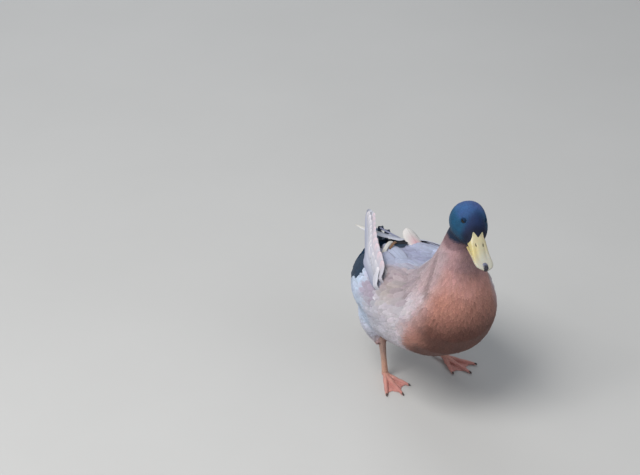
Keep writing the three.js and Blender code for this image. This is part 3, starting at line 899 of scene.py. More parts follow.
def coat_mesh(name, hide, roots, form, rng, gap=None, base=0.3):
    """One mesh of feathers laid on the skin from their roots."""
    columns, rows, reach, breadth, lift, ragged = form
    count = len(roots)
    gap = coat_spacing(roots) if gap is None else gap
    near, facing = hide.nearest(roots)
    way = lie_of_coat(near, facing)
    twist = rng.normal(0, 0.10, (count, 1))
    way = unit(way + np.cross(facing, way) * twist)
    length = gap * reach * rng.uniform(0.88, 1.12, count)
    half = gap * breadth * rng.uniform(0.9, 1.1, count)
    raised = lift * rng.uniform(0.75, 1.1, count)

    u = np.linspace(-1, 1, columns)
    v = np.linspace(0, 1, rows) ** 0.9
    spots, ups, at, heading = [], [], near, way
    step = np.diff(v, prepend=0)
    for i in range(rows):
        at = at + heading * (length * step[i])[:, None]
        at, up = hide.nearest(at)
        heading = unit(heading - up * np.einsum("ij,ij->i", heading, up)[:, None])
        spots.append(at + up * (base + raised * v[i])[:, None])
        ups.append(up)
    centre = np.stack(spots, 1)
    up = np.stack(ups, 1)
    along = unit(np.gradient(centre, axis=1))
    side = unit(np.cross(along, up))
    out = unit(np.cross(side, along))
    width = half[:, None] * outline(v)[None, :]
    fray = rng.uniform(-1, 1, (count, rows, columns)) * ragged * (v**3)[None, :, None]
    fray = fray * length[:, None, None]
    places = (
        centre[:, :, None]
        + side[:, :, None] * (width[:, :, None] * u)[..., None]
        - out[:, :, None] * (width[:, :, None] * CAMBER * u**2)[..., None]
        + along[:, :, None] * fray[..., None]
    )
    points = places.reshape(-1, 3)

    quad = np.array(
        [
            (r * columns + c, r * columns + c + 1, (r + 1) * columns + c + 1, (r + 1) * columns + c)
            for r in range(rows - 1)
            for c in range(columns - 1)
        ]
    )
    corners = (quad[None] + (np.arange(count) * rows * columns)[:, None, None]).reshape(-1)
    mesh = bpy.data.meshes.new(name)
    mesh.vertices.add(len(points))
    mesh.vertices.foreach_set("co", ((points + np.array(SHIFT)) * MM).astype(np.float32).ravel())
    mesh.loops.add(len(corners))
    mesh.loops.foreach_set("vertex_index", corners.astype(np.int32))
    mesh.polygons.add(len(corners) // 4)
    mesh.polygons.foreach_set("loop_start", np.arange(0, len(corners), 4, dtype=np.int32))
    mesh.update(calc_edges=True)
    mesh.shade_smooth()
    own = out[:, :, None] + side[:, :, None] * (0.5 * u)[None, None, :, None]
    lit = unit(own * (1 - SOFTNESS) + up[:, :, None] * SOFTNESS)
    mesh.normals_split_custom_set_from_vertices(lit.reshape(-1, 3).tolist())

    across = np.tile(np.tile((u + 1) / 2, rows), count)
    along_v = np.tile(np.repeat(v, columns), count)
    vane = np.stack([across, along_v], 1)
    t, _, found, off = spine_place(roots)
    rise = np.einsum("ij,ij->i", roots - SPINE[found, :3], SPINE_UP[found])
    round_u = np.arctan2(rise, off) / (2 * math.pi) + 0.5
    if name == "coat_head":
        hx, forward, hz = head_place(roots).T
        round_u = np.arctan2(hz, hx) / (2 * math.pi) + 0.5
        t = np.arccos(np.clip(forward / np.sqrt(hx**2 + forward**2 + hz**2), -1, 1)) / math.pi
    patch = np.repeat(np.stack([round_u, t], 1), rows * columns, axis=0)
    bake = np.clip(patch * 0.99 + 0.005 + (vane - 0.5) * BAKE_PATCH, 0, 1)
    for layer_name, values in (("vane", vane), ("OFBake", bake)):
        layer = mesh.uv_layers.new(name=layer_name)
        layer.data.foreach_set("uv", values[corners].astype(np.float32).ravel())
    tones = markings(centre[:, int(rows * SHOWN_PART)])
    tones = tones * rng.uniform(0.89, 1.08, (count, 1)) * rng.uniform(0.98, 1.02, (count, 3))
    mark(mesh, np.repeat(tones, rows * columns, axis=0))
    return mesh


class DRAKE_OT_coat(bpy.types.Operator):
    """Lays the small feathers of the head, neck and body over the skin"""

    bl_idname = "drake.coat"
    bl_label = "Small feathers"

    # For each region: material slot, paler fringe, darker shaft, number of barbs, gloss.
    SLOTS = {
        "head": ("head_feathers", 0.25, 0.1, 20, 0.0),
        "neck": ("neck_feathers", 0.16, 0.06, 24, 0.05),
        "breast": ("body_feathers", 0.22, 0.08, 30, 0.0),
        "flank": ("body_feathers", 0.22, 0.08, 30, 0.0),
        "back": ("wing_coverts", 0.10, 0.08, 40, 0.0),
        "rump": ("body_feathers", 0.30, 0.1, 30, -0.2),
        "thigh": ("body_feathers", 0.18, 0.06, 24, 0.0),
    }

    def execute(self, context):
        rng = np.random.default_rng(sizes().seed)
        hide = Hide()
        roots = hide.roots(coat_spacing, feathered, rng)
        regions = coat_region(roots)
        for region, form in COAT_FORMS.items():
            mine = roots[regions == region]
            slot, fringe, shaft, barbs, gloss = self.SLOTS[region]
            name = "coat_" + region
            mesh = coat_mesh(name, hide, mine, form, rng)
            keep_piece(mesh, name, plumage(region + "_plumage", fringe, shaft, barbs, gloss), slot)
        return {"FINISHED"}


def on_body(t, degrees, off, sign):
    """Points on the drawn body: t along the spine, angle round it, distance off it."""
    t = np.asarray(t, float)
    row = between(BODY_STATIONS, t)
    up = np.stack([np.interp(t, SPINE_T, SPINE_UP[:, k]) for k in range(3)], -1)
    angle = np.radians(degrees)
    over = np.where(np.sin(angle) > 0, row[..., 4], row[..., 5])
    side = ((row[..., 3] + off) * np.cos(angle) * sign)[..., None] * np.array([1.0, 0, 0])
    return row[..., :3] + side + ((over + off) * np.sin(angle))[..., None] * up


# Rows of larger feathers on each side: name, slot, angles round the body, first and last place
# along the spine, step along it, spacing in millimetres, form, and height over the coat.
FEATHER_ROWS = (
    ("scapulars", "body_feathers", (38, 50, 62, 74, 86), 0.60, 0.37, 0.030, 8.8,
     (7, 10, 3.4, 0.82, 1.1, 0.04), 0.6),
    ("wing_rows", "wing_coverts", (-6, 2, 10, 18, 26), 0.545, 0.26, 0.028, 6.6,
     (7, 9, 3.5, 0.86, 1.0, 0.04), 0.6),
    ("wrist_coverts", "wing_coverts", (2, 9, 16, 23, 30, 37), 0.61, 0.52, 0.018, 6.6,
     (7, 10, 3.8, 0.84, 1.9, 0.04), 0.8),
)


class DRAKE_OT_rows(bpy.types.Operator):
    """Lays the scapulars of the shoulders and the rows of coverts on the folded wings"""

    bl_idname = "drake.rows"
    bl_label = "Rows of larger feathers"

    def execute(self, context):
        rng = np.random.default_rng(sizes().seed + 5)
        hide = Hide()
        for name, slot, angles, first, last, step, gap, form, base in FEATHER_ROWS:
            places = []
            for sign in (-1, 1):
                for row, angle in enumerate(angles):
                    t = np.arange(first - step / 2 * (row % 2), last, -step)
                    t = t + rng.normal(0, step * 0.08, len(t))
                    places.append(on_body(t, angle + rng.normal(0, 1.2, len(t)), 0, sign))
            roots, _ = hide.nearest(np.concatenate(places))
            gaps = np.full(len(roots), gap)
            mesh = coat_mesh(name, hide, roots, form, rng, gaps, base)
            keep_piece(mesh, name, plumage(name + "_plumage", 0.12, 0.10, 70), slot)
        return {"FINISHED"}


# ---- Large feathers ------------------------------------------------------------------------


class Quills:
    """Large feathers gathered in one mesh: each is a cambered vane with a raised shaft."""

    ACROSS, ALONG = 8, 22
    THICK = 0.35

    def __init__(self):
        self.bm = bmesh.new()
        self.vane = self.bm.loops.layers.uv.new("vane")
        self.bake = self.bm.loops.layers.uv.new("OFBake")
        self.colour = self.bm.verts.layers.float_color.new("marking")
        self.count = 0

    def add(self, place, face, half, tones, width_of=None, camber=0.18, shaft=0.55, shift=0.0):
        """place(v) is the shaft's line, face(v) the way the vane faces, half its half width,
        tones(u, v) its colour, and shift moves the shaft to one side of the vane."""
        grid = {"x_segments": self.ACROSS, "y_segments": self.ALONG, "size": 1}
        made = bmesh.ops.create_grid(self.bm, **grid)["verts"]
        where = {}
        for vert in made:
            u, v = vert.co.x, (vert.co.y + 1) / 2
            where[vert] = (u, v)
            spot = Vector(place(v))
            ahead = (Vector(place(min(1, v + 0.02))) - Vector(place(max(0, v - 0.02)))).normalized()
            out = Vector(face(v)).normalized()
            side = ahead.cross(out).normalized()
            out = side.cross(ahead).normalized()
            wide = half * (width_of(v) if width_of else float(outline(np.array(v))))
            slip = wide * (u + shift * (1 - u * u))
            ridge = shaft * max(0, 1 - abs(u) * 5) * (1 - 0.75 * v)
            vert.co = spot + side * slip + out * (ridge - camber * wide * u * u)
            vert[self.colour] = (*[float(c) for c in tones(u, v)], 1)
        faces = faces_of(made)
        self.count += 1
        corner = ((self.count - 1) % 5 / 5 + 0.1, (self.count - 1) // 5 / 5 + 0.1)
        before = len(self.bm.verts)
        bmesh.ops.solidify(self.bm, geom=faces, thickness=self.THICK)
        tree = KDTree(len(made))
        for i, vert in enumerate(made):
            tree.insert(vert.co, i)
        tree.balance()
        self.bm.verts.ensure_lookup_table()
        for vert in self.bm.verts[before:]:
            _, i, _ = tree.find(vert.co)
            vert[self.colour] = made[i][self.colour]
            where[vert] = where[made[i]]
        for vert in list(where):
            for loop in vert.link_loops:
                u, v = where[vert]
                loop[self.vane].uv = ((u + 1) / 2, v)
                loop[self.bake].uv = (corner[0] + 0.08 * u, corner[1] + 0.17 * (v - 0.5))

    def done(self, name, material, slot, *nodes):
        return keep_piece(mesh_of(self.bm, name), name, material, slot, *nodes)


def curve_through(points):
    """A smooth line through points, as a function of a place from 0 to 1 and a little beyond."""
    rows = np.asarray(points, float)

    def at(t):
        inside = between(rows, np.array(min(max(t, 0), 1)))
        if t > 1:
            inside = inside + (rows[-1] - rows[-2]) * (t - 1) * (len(rows) - 1)
        if t < 0:
            inside = inside + (rows[1] - rows[0]) * t * (len(rows) - 1)
        return Vector(inside)

    return at


def quill_outline(v):
    """Half width of a flight feather: nearly parallel, with a blunt round tip."""
    return min(1, 0.5 + 2.5 * v) * math.sqrt(max(0.02, 1 - max(0, (v - 0.86) / 0.145) ** 2.2))


def round_outline(v):
    """Half width of a broad feather with a full round tip."""
    return min(1, 0.3 + 1.5 * v) * math.sqrt(max(0.02, 1 - max(0, (v - 0.78) / 0.225) ** 2))


def shade(a, b, f):
    """Tone a moved towards tone b by a share."""
    f = min(max(f, 0), 1)
    return tuple(x + (y - x) * f for x, y in zip(a, b))


class DRAKE_OT_wings(bpy.types.Operator):
    """Makes the flight feathers and tertials of the folded wings"""

    bl_idname = "drake.wings"
    bl_label = "Wings"

    # Feathers in a full stack, how many are made on each side, and the rise from one to the next.
    COUNT, SHOWN, STEP = 9, {"right": 9, "left": 7}, 0.5
    # Two rows of shorter feathers along the right stack, white ones and pink ones at its edge: how
    # far in they lie, half width, first place along the stack, count, rise, tones of root and tip.
    STEPPED = (
        (11.5, 5.6, -0.03, 11, 0.9, (0.55, 0.55, 0.61), (0.67, 0.64, 0.67)),
        (-1.0, 5.0, -0.03, 9, 1.8, (0.53, 0.51, 0.57), (0.61, 0.49, 0.53)),
    )
    STEPPED_GAP, STEPPED_LENGTH = 0.072, 0.17

    def execute(self, context):
        rng = np.random.default_rng(sizes().seed + 9)
        hide = Hide()
        paint = plumage("flight_plumage", 0.16, 0.16, 150, 0.05, 0.55)
        for side in HAND_EDGES:
            stack = Quills()
            self.hand(stack, side, rng, hide)
            if side == "left":
                # One inner feather has slipped up and stands free above the others.
                grey = tuple(colours().mantle)
                self.slip(stack, (36, 168, 154), (9, 190, 169), (0.5, -0.3, 0.8), 2.6, grey)
            stack.done("flight_feathers_" + side, paint, "flight_feathers", "wing_hand_" + side)
            rear = Quills()
            for k, feather in enumerate(TERTIALS[side]):
                self.tertial(rear, side, k, *feather, rng)
            if side == "right":
                self.hollow(rear)
            rear.done("tertials_" + side, paint, "flight_feathers", "wing_tertials_" + side)
        return {"FINISHED"}

    def hand(self, stack, side, rng, hide):
        """The closed stack: each feather lies over the last, and ends further in."""
        c = colours()
        vane, cream, pale = tuple(c.vane), tuple(c.cream), tuple(c.back)
        rim = tuple(c.edge) if side == "right" else pale
        edge, root_way, tip_way = HAND_EDGES[side]
        line = curve_through(edge)
        along = (line(1) - line(0)).normalized()

        def across(t):
            return Vector(root_way).lerp(Vector(tip_way), min(max(t, 0), 1)).normalized()

        def width(t):
            return float(between(np.array(HAND_WIDTHS)[:, None], np.array(min(max(t, 0), 1)))[0])

        turn = 1 if side == "right" else -1
        face = across(0.6).cross(along).normalized() * turn

        def laid(t, v, off, above):
            """A place on the stack, kept over the coat, with its root pushed under the coverts."""
            spot = line(t) + across(t) * off + face * above
            near, up = hide.nearest(np.array([spot]))
            near, up = Vector(near[0]), Vector(up[0])
            under = 1 - float(ease(v, 0.0, 0.15))
            want = (rest + above) * (1 - under) - 8.0 * under
            lift = want - (spot - near).dot(up)
            if lift < 0:
                lift *= 1 - float(ease(v, held, held + 0.2))
            return spot + up * lift

        def facing(t, off):
            spot = line(t) + across(t) * off
            near, up = hide.nearest(np.array([spot]))
            close = 1 - float(ease((spot - Vector(near[0])).length, 5, 16))
            return face.lerp(Vector(up[0]), 0.6 * close)

        # How high the stack rests over the skin, how far along it is held to it, and how far
        # its roots are spread.
        rest, held, spread = (3.0, 0.06, 1.0) if side == "right" else (1.0, 0.3, 0.5)
        inset = HAND_HALF_WIDTH * 0.8
        for i in range(self.SHOWN[side]):
            f = i / (self.COUNT - 1)
            reach = float(between(np.array(HAND_TIPS)[:, None], np.array(f))[0])
            start = -0.09 + (0.15 if side == "right" else 0.25) * f
            root_off = inset + f * (HAND_WIDTHS[0] * spread - 2 * inset)
            tip_off = max(2, width(reach) - inset)
            light = rng.uniform(0.90, 1.06)

            def place(v, reach=reach, root_off=root_off, tip_off=tip_off, i=i, start=start):
                t = start + v * (reach - start)
                return laid(t, v, root_off + (tip_off - root_off) * v, i * self.STEP + 0.2)

            def face_at(v, reach=reach, start=start):
                t = start + v * (reach - start)
                return facing(t, 0.5 * width(t))

            def tones(u, v, f=f, light=light):
                inner = 0.5 + 0.5 * u * turn
                if side == "right":
                    tone = shade(rim, vane, f * 2.6 + 0.3 * inner)
                    tone = shade(tone, cream, float(ease(f, 0.35, 0.9)) * (0.3 + 0.7 * v * inner))
                    tone = shade(tone, rim, 0.5 * float(ease(-inner, -0.25, 0.0)))
                else:
                    tone = shade(rim, vane, 0.5 + 0.35 * inner + 0.2 * f)
                    tone = shade(tone, (0.74, 0.70, 0.60), float(ease(v, 0.78, 0.9)) * (1 - f * 2))
                return tuple(x * light for x in tone)

            stack.add(place, face_at, HAND_HALF_WIDTH, tones, quill_outline, 0.03, 0.3, 0.25 * turn)
        if side == "left":
            return
        for inwards, half, first, count, rise, tone, tip_tone in self.STEPPED:
            for k in range(count):
                t0 = first + self.STEPPED_GAP * k + rng.uniform(-0.008, 0.008)
                over = self.COUNT * self.STEP + rise - 0.05 * k
                light = rng.uniform(0.93, 1.05)
                # The first feather's root goes under the coverts and further in than the others'.
                drawn_in = 18 if k == 0 else 8

                def place(v, t0=t0, over=over, inwards=inwards, k=k, drawn_in=drawn_in):
                    t = t0 + self.STEPPED_LENGTH * v
                    off = width(t) - inwards - drawn_in * (1 - v)
                    return laid(t, v * 0.45 if k == 0 else 0.5, off, over + 0.8 * v)

                def face_at(v, t0=t0):
                    return facing(t0 + self.STEPPED_LENGTH * v, 0.5 * width(t0))

                def tones(u, v, tone=tone, tip_tone=tip_tone, light=light):
                    return tuple(x * light for x in shade(tone, tip_tone, float(ease(v, 0.6, 1.0))))

                stack.add(place, face_at, half, tones, round_outline, 0.16, 0.3)

    def slip(self, stack, root, tip, facing, half, tone):
        """A single slim straight feather of one tone between two points."""
        root, tip, facing = Vector(root), Vector(tip), Vector(facing).normalized()
        line, face = (lambda v: root.lerp(tip, v)), (lambda v: facing)
        stack.add(line, face, half, lambda u, v: tone, quill_outline, 0.1, 0.3)

    def tertial(self, stack, side, k, root, tip, facing, arch, rng):
        """A broad feather of the back with a narrower one under each of its edges."""
        c = colours()
        pale, lavender, pink = tuple(c.back), tuple(c.mantle), tuple(c.coverts)
        root, tip, facing = Vector(root), Vector(tip), Vector(facing).normalized()
        free = side == "left" and k == 2
        ahead = (tip - root).normalized()
        sideways = ahead.cross(facing).normalized()
        layers = ((0, 0, 12.5),) if free else ((-5.5, 0.06, 7.5), (5.5, 0.1, 7.5), (0, 0, 9.5))
        for off, short, half in layers:
            light = rng.uniform(0.95, 1.03)
            drop = 0.9 if off else 0.0

            def place(v, off=off, short=short, drop=drop):
                spot = root.lerp(tip, v * (1 - short)) + facing * (arch * 4 * v * (1 - v) - drop)
                return spot + sideways * off * (1 - 0.35 * v)

            def tones(u, v, light=light):
                if free:
                    flush = (1 - abs(u)) * 1.3 * float(ease(-v, -0.95, -0.5))
                    tone = shade((0.62, 0.60, 0.58), (0.62, 0.36, 0.40), flush)
                else:
                    tone = shade(lavender, pale, 0.4 + 0.3 * k)
                    tone = shade(tone, pink, 0.35 * float(ease(abs(u), 0.6, 1)))
                return tuple(x * light for x in tone)

            stack.add(place, lambda v: facing, half, tones, round_outline if free else None, 0.26, 0.4)

    def hollow(self, stack):
        """A curved feather round the rear of the back, brown inside, beside a dark hollow whose shade is
        painted as a near-black slim sheet.
        """
        cream, tan, painted_shadow = (0.56, 0.55, 0.52), tuple(colours().tan), (0.025, 0.026, 0.03)
        line = curve_through(HOLLOW_EDGE)
        inner = curve_through([Vector(p) + Vector((5, -4, 0)) for p in HOLLOW_EDGE[2:]])
        stack.add(line, lambda v: (-0.45, -0.5, 0.74), 3.0, lambda u, v: cream, quill_outline, 0.2, 0.3)
        stack.add(inner, lambda v: (-0.3, -0.6, 0.74), 1.9, lambda u, v: tan, quill_outline, 0.2, 0.3)
        # A near-black sheet that stands for the shadow in the hollow under the raised tertials: painted
        # shadow.
        self.slip(stack, (-11, 101, 196), (15, 105, 187), (-0.2, -0.6, 0.77), 2.1, painted_shadow)


class DRAKE_OT_tail(bpy.types.Operator):
    """Makes the closed tail and the curled feathers on its root"""

    bl_idname = "drake.tail"
    bl_label = "Tail"

    def execute(self, context):
        vane, grey, dark = tuple(colours().vane), tuple(colours().back), tuple(colours().rump)
        paint = plumage("tail_plumage", 0.25, 0.3, 120, 0.05, 0.55)
        fan = Quills()
        count, turn = 12, 14
        for i in range(count):
            f = 2 * i / (count - 1) - 1
            angle = math.radians(f * 6.5 + turn)
            reach = 75 * (1 - 0.26 * abs(f))
            start = Vector((6 + f * 6, 168, 135 - abs(f) * 3))
            end = start + Vector((math.sin(angle) * reach, math.cos(angle) * reach, 4 - abs(f) * 5))
            facing = Vector((f * 0.35, 0, 1)).normalized()

            def place(v, start=start, end=end, facing=facing):
                return start.lerp(end, v) + facing * 2.5 * 4 * v * (1 - v)

            def tones(u, v, f=f):
                return shade(shade(dark, grey, abs(f) * 1.5), vane, 1.4 * abs(f) - 0.5)

            fan.add(place, lambda v, facing=facing: facing, 8.5, tones, round_outline, 0.14, 0.4)
        fan.done("tail_feathers", paint, "tail_feathers", "tail")

        glossy = plumage("curl_plumage", 0.04, 0.1, 60, 0.35)
        for i, points in enumerate(CURLS):
            curl = Quills()
            line = curve_through(points)
            middle = Vector(points[0]).lerp(Vector(points[-1]), 0.5) + Vector((0, -8, 8))

            def face(v, line=line, middle=middle):
                return middle - line(v)

            curl.add(line, face, 2.8, lambda u, v: dark, quill_outline, 0.22, 0.3)
            curl.done(f"curl_feather_{i + 1}", glossy, "curl_feathers", f"tail_curl_{i + 1}")
        return {"FINISHED"}


# ---- Bill and eyes -------------------------------------------------------------------------


def head_reach(forward, angle):
    """How far the skull's surface lies from the bill's middle line, in one direction."""
    rows = np.array(HEAD_STATIONS, float)
    t = np.interp(forward, rows[:, 0], np.linspace(0, 1, len(rows)))
    _, wide, over, under, brow = between(HEAD_STATIONS, t)
    turn = np.linspace(-math.pi / 2, math.pi / 2, 90)
    x, z = wide * np.cos(turn), np.where(turn > 0, over, under) * np.sin(turn)
    up = np.clip(2 * z / max(over, 1), 0, 1)
    x = x * (1 - (1 - brow) * up * up * (3 - 2 * up))
    round_it = np.arctan2(z + 3, x)
    return float(np.interp(angle, round_it, np.hypot(x, z + 3)))


class DRAKE_OT_bill(bpy.types.Operator):
    """Makes the bill: upper and lower mandible and the nail at its tip"""

    bl_idname = "drake.bill"
    bl_label = "Bill"

    RINGS, SIDES = 150, 128

    def execute(self, context):
        base, tip, dark = tint("bill_base"), tint("bill_tip"), tint("nail")
        horn = bill_horn("bill_skin")
        upper, (hx, forward, hz) = self.lofted(self.upper_rings(), "bill_upper_horn")
        # Yellow at the base and along the right side, cream towards the tip and the ridge.
        pale = ease(forward - 0.5 * np.abs(hx) + 0.8 * hx, 36, 66)
        tones = base + (tip - base) * pale[:, None]
        tones = blended(tones, tip, ease(hz + 0.12 * forward, 2.0, 7.0) * 0.45)
        slot = self.nostril(hx, forward, hz)
        tones = blended(tones, (0.02, 0.015, 0.015), ease(slot, 0.0, 0.6))
        tones = blended(tones, (0.30, 0.24, 0.14), ease(-hz, 10.6, 12.2) * 0.5)
        mark(upper, tones)
        keep_piece(upper, "bill_upper_horn", horn, "bill_skin", "bill_upper")

        lower, (hx, forward, hz) = self.lofted(self.lower_rings(), "bill_lower_horn")
        mark(lower, base * 0.9 + (tip * 0.9 - base * 0.9) * ease(forward, 34, 66)[:, None])
        keep_piece(lower, "bill_lower_horn", horn, "bill_skin", "bill_lower")

        nail_rings = [self.nail_ring(k / 18) for k in range(19)]
        nail, (hx, forward, hz) = self.lofted(nail_rings, "nail_horn")
        mark(nail, blended(np.tile(dark, (len(hx), 1)), (0.13, 0.14, 0.20), ease(-forward, -77, -74)))
        keep_piece(nail, "nail_horn", nail_horn("nail_horn"), "nail_horn", "bill_nail")
        return {"FINISHED"}

    def lofted(self, rings, name):
        """A mesh through rings, and its points in the skull's frame."""
        bm = bmesh.new()
        loft(bm, rings)
        mesh = mesh_of(bm, name)
        return mesh, head_place(drawn(mesh)).T

    def nostril(self, hx, forward, hz):
        """1 in the middle of a nostril, 0 outside it."""
        ahead, out = forward - 43.6, np.abs(hx) - 5.3
        off = (ahead / 2.9) ** 2 + ((out + ahead * 0.12) / 1.25) ** 2
        return np.where(hz > -6, np.clip(1 - off, 0, 1), 0)

    def section(self, stations, t, a):
        """A point of a mandible's section: how far to the left and how high."""
        _, wide, top, bottom = between(stations, t)
        middle, half = (top + bottom) / 2, (top - bottom) / 2
        x = math.copysign(abs(math.cos(a)) ** 0.8, math.cos(a)) * wide
        return x, middle + math.copysign(abs(math.sin(a)) ** 0.8, math.sin(a)) * half

    def base_angle(self, stations, a):
        """The direction from the bill's middle in which a side of the section leaves the face."""
        x, z = self.section(stations, 0.16, a)
        return math.degrees(math.atan2(z + 3, abs(x)))

    def flared(self, stations, a, g, edge):
        """A point of a mandible: g runs from its edge on the face to its tip."""
        first, last = stations[0][0], stations[-1][0]
        forward = edge + (last - edge) * g
        rows = np.array(stations, float)
        t = float(np.interp(forward, rows[:, 0], np.linspace(0, 1, len(rows))))
        x, z = self.section(stations, t, a)
        here = math.hypot(x, z + 3)
        face = head_reach(forward, math.atan2(z + 3, abs(x))) + 0.1
        near = 1 - float(ease(forward - edge, 0.0, 6.0))
        grow = 1 + max(0.0, face - here) / here * near
        return x * grow, forward, (z + 3) * grow - 3

    def upper_rings(self):
        """The upper mandible's sections, from inside the face, over its lobes, to the tip."""
        around = [2 * math.pi * k / self.SIDES for k in range(self.SIDES)]
        edges = [float(bill_edge(np.array(self.base_angle(BILL_UPPER, a)))) for a in around]
        rings = []
        for k in range(self.RINGS + 1):
            g = k / self.RINGS
            ring = []
            for a, edge in zip(around, edges):
                x, forward, z = self.flared(BILL_UPPER, a, g, edge)
                # A shallow dip along each side of the ridge.
                dip = math.sin(math.pi * min(1, max(0, (forward - 34) / 36)))
                if math.sin(a) > 0:
                    z -= 0.9 * math.exp(-(((abs(x) - 6.5) / 2.6) ** 2)) * dip
                place = in_head(x, forward, z)
                hole = float(self.nostril(np.array(x), np.array(forward), np.array(z)))
                if hole > 0:
                    inward = in_head(0, forward, -5) - place
                    place = place + inward.normalized() * 1.4 * float(ease(hole, 0.05, 0.6))
                ring.append(place)
            rings.append(ring)
        return [self.sunk(rings[0])] + rings

    def sunk(self, ring):
        """The same ring, drawn in and back so that the bill's root lies inside the face."""
        middle = sum(ring, Vector()) / len(ring)
        back = (in_head(0, 0, 0) - in_head(0, 10, 0)).normalized()
        return [p.lerp(middle, 0.25) + back * 1.5 for p in ring]

    def lower_rings(self):
        """The lower mandible's sections, flat on top, from inside the face to the tip."""
        around = [2 * math.pi * k / 40 for k in range(40)]
        rings = []
        for k in range(37):
            ring = []
            for a in around:
                edge = 30.5 + 5.0 * max(0, -math.sin(a)) ** 3
                x, forward, z = self.flared(BILL_LOWER, a, k / 36, edge)
                ring.append(in_head(x, forward, min(z, -12.75)))
            rings.append(ring)
        return [self.sunk(rings[0])] + rings

    def nail_ring(self, t):
        """A section of the nail, domed over the bill's tip and hooked down a little."""
        swell = math.sqrt(max(0.06, 1 - (2 * t - 1) ** 4))
        forward = NAIL_FROM + (NAIL_TO - NAIL_FROM) * t
        crest = NAIL_TOP + 0.9 - 3.4 * t * t
        foot = NAIL_FOOT + 3.4 * (1 - t) ** 2
        middle = (crest + foot) / 2
        around = (2 * math.pi * k / 32 for k in range(32))
        half, rise = NAIL_HALF * swell, crest - middle
        return [in_head(half * math.cos(a), forward, middle + rise * math.sin(a)) for a in around]


class DRAKE_OT_eyes(bpy.types.Operator):
    """Makes the eyes and their lids"""

    bl_idname = "drake.eyes"
    bl_label = "Eyes"

    # How far the lids open from the line of sight, in degrees: up, down, and at the corners.
    UPPER, LOWER, CORNER = 23, 27, 52

    def execute(self, context):
        wet = eye_wet("eye_wet")
        lid_paint = lid_skin("lid_skin")
        for side, sign in (("left", 1), ("right", -1)):
            centre = Vector((sign * EYE_PLACE.x, EYE_PLACE.y, EYE_PLACE.z))
            gaze = Vector((sign * 1.0, -0.22, 0.12)).normalized()
            turned = HEAD @ Matrix.Translation(centre)
            turned = turned @ gaze.to_track_quat("Z", "Y").to_matrix().to_4x4()
            bm = bmesh.new()
            bmesh.ops.create_uvsphere(bm, u_segments=48, v_segments=32, radius=EYE_RADIUS - 0.15)
            heights = np.array([v.co.z / v.co.length for v in bm.verts])
            polar = np.degrees(np.arccos(np.clip(heights, -1, 1)))
            bmesh.ops.transform(bm, matrix=turned, verts=bm.verts)
            ball = mesh_of(bm, "eyeball_" + side)
            iris = np.tile((0.007, 0.004, 0.003), (len(polar), 1))
            tones = blended(iris, (0.004, 0.003, 0.003), 1 - ease(polar, 23, 26))
            tones = blended(tones, (0.012, 0.008, 0.006), ease(polar, 44, 52))
            mark(ball, tones)
            keep_piece(ball, "eyeball_" + side, wet, "eye_wet", "eye_" + side)

            bm = bmesh.new()
            made = bmesh.ops.create_grid(bm, x_segments=56, y_segments=10, size=1)["verts"]
            for vert in made:
                round_a = (vert.co.x + 1) * math.pi
                out = (vert.co.y + 1) / 2
                high = self.UPPER if math.sin(round_a) > 0 else self.LOWER
                wide = abs(math.cos(round_a)) ** 1.25 / self.CORNER
                open_a = 1 / math.hypot(wide, math.sin(round_a) / high)
                theta = math.radians(open_a + (88 - open_a) * out)
                radius = EYE_RADIUS + 0.05 + 0.28 * math.sin(min(1, out * 6) * math.pi / 2) - 0.7 * out
                flat = math.sin(theta) * radius
                vert.co = (math.cos(round_a) * flat, math.sin(round_a) * flat, math.cos(theta) * radius)
            bmesh.ops.remove_doubles(bm, verts=bm.verts, dist=1e-3)
            bmesh.ops.solidify(bm, geom=bm.faces, thickness=-0.22)
            bmesh.ops.transform(bm, matrix=turned, verts=bm.verts)
            lid = mesh_of(bm, "eyelids_" + side)
            mark(lid, markings(drawn(lid)) * 0.35)
            keep_piece(lid, "eyelids_" + side, lid_paint, "head_feathers")
        return {"FINISHED"}


# ---- Legs ----------------------------------------------------------------------------------

LEG_GRAIN = 0.75  # size of the faces of the legs, in millimetres


def tube(bm, points, radii, sides, rings):
    """A tapering tube along a smooth line."""
    line = curve_through(points)
    rows = []
    for k in range(rings + 1):
        t = k / rings
        ahead = (line(min(1, t + 0.01)) - line(max(0, t - 0.01))).normalized()
        side = ahead.cross(Vector((1, 0, 0)) if abs(ahead.x) < 0.8 else Vector((0, 0, 1))).normalized()
        up = side.cross(ahead)
        radius = float(between(np.array(radii, float)[:, None], np.array(t))[0])
        rows.append(
            [
                line(t) + side * (radius * math.cos(a)) + up * (radius * math.sin(a))
                for a in (2 * math.pi * s / sides for s in range(sides))
            ]
        )
    loft(bm, rows)


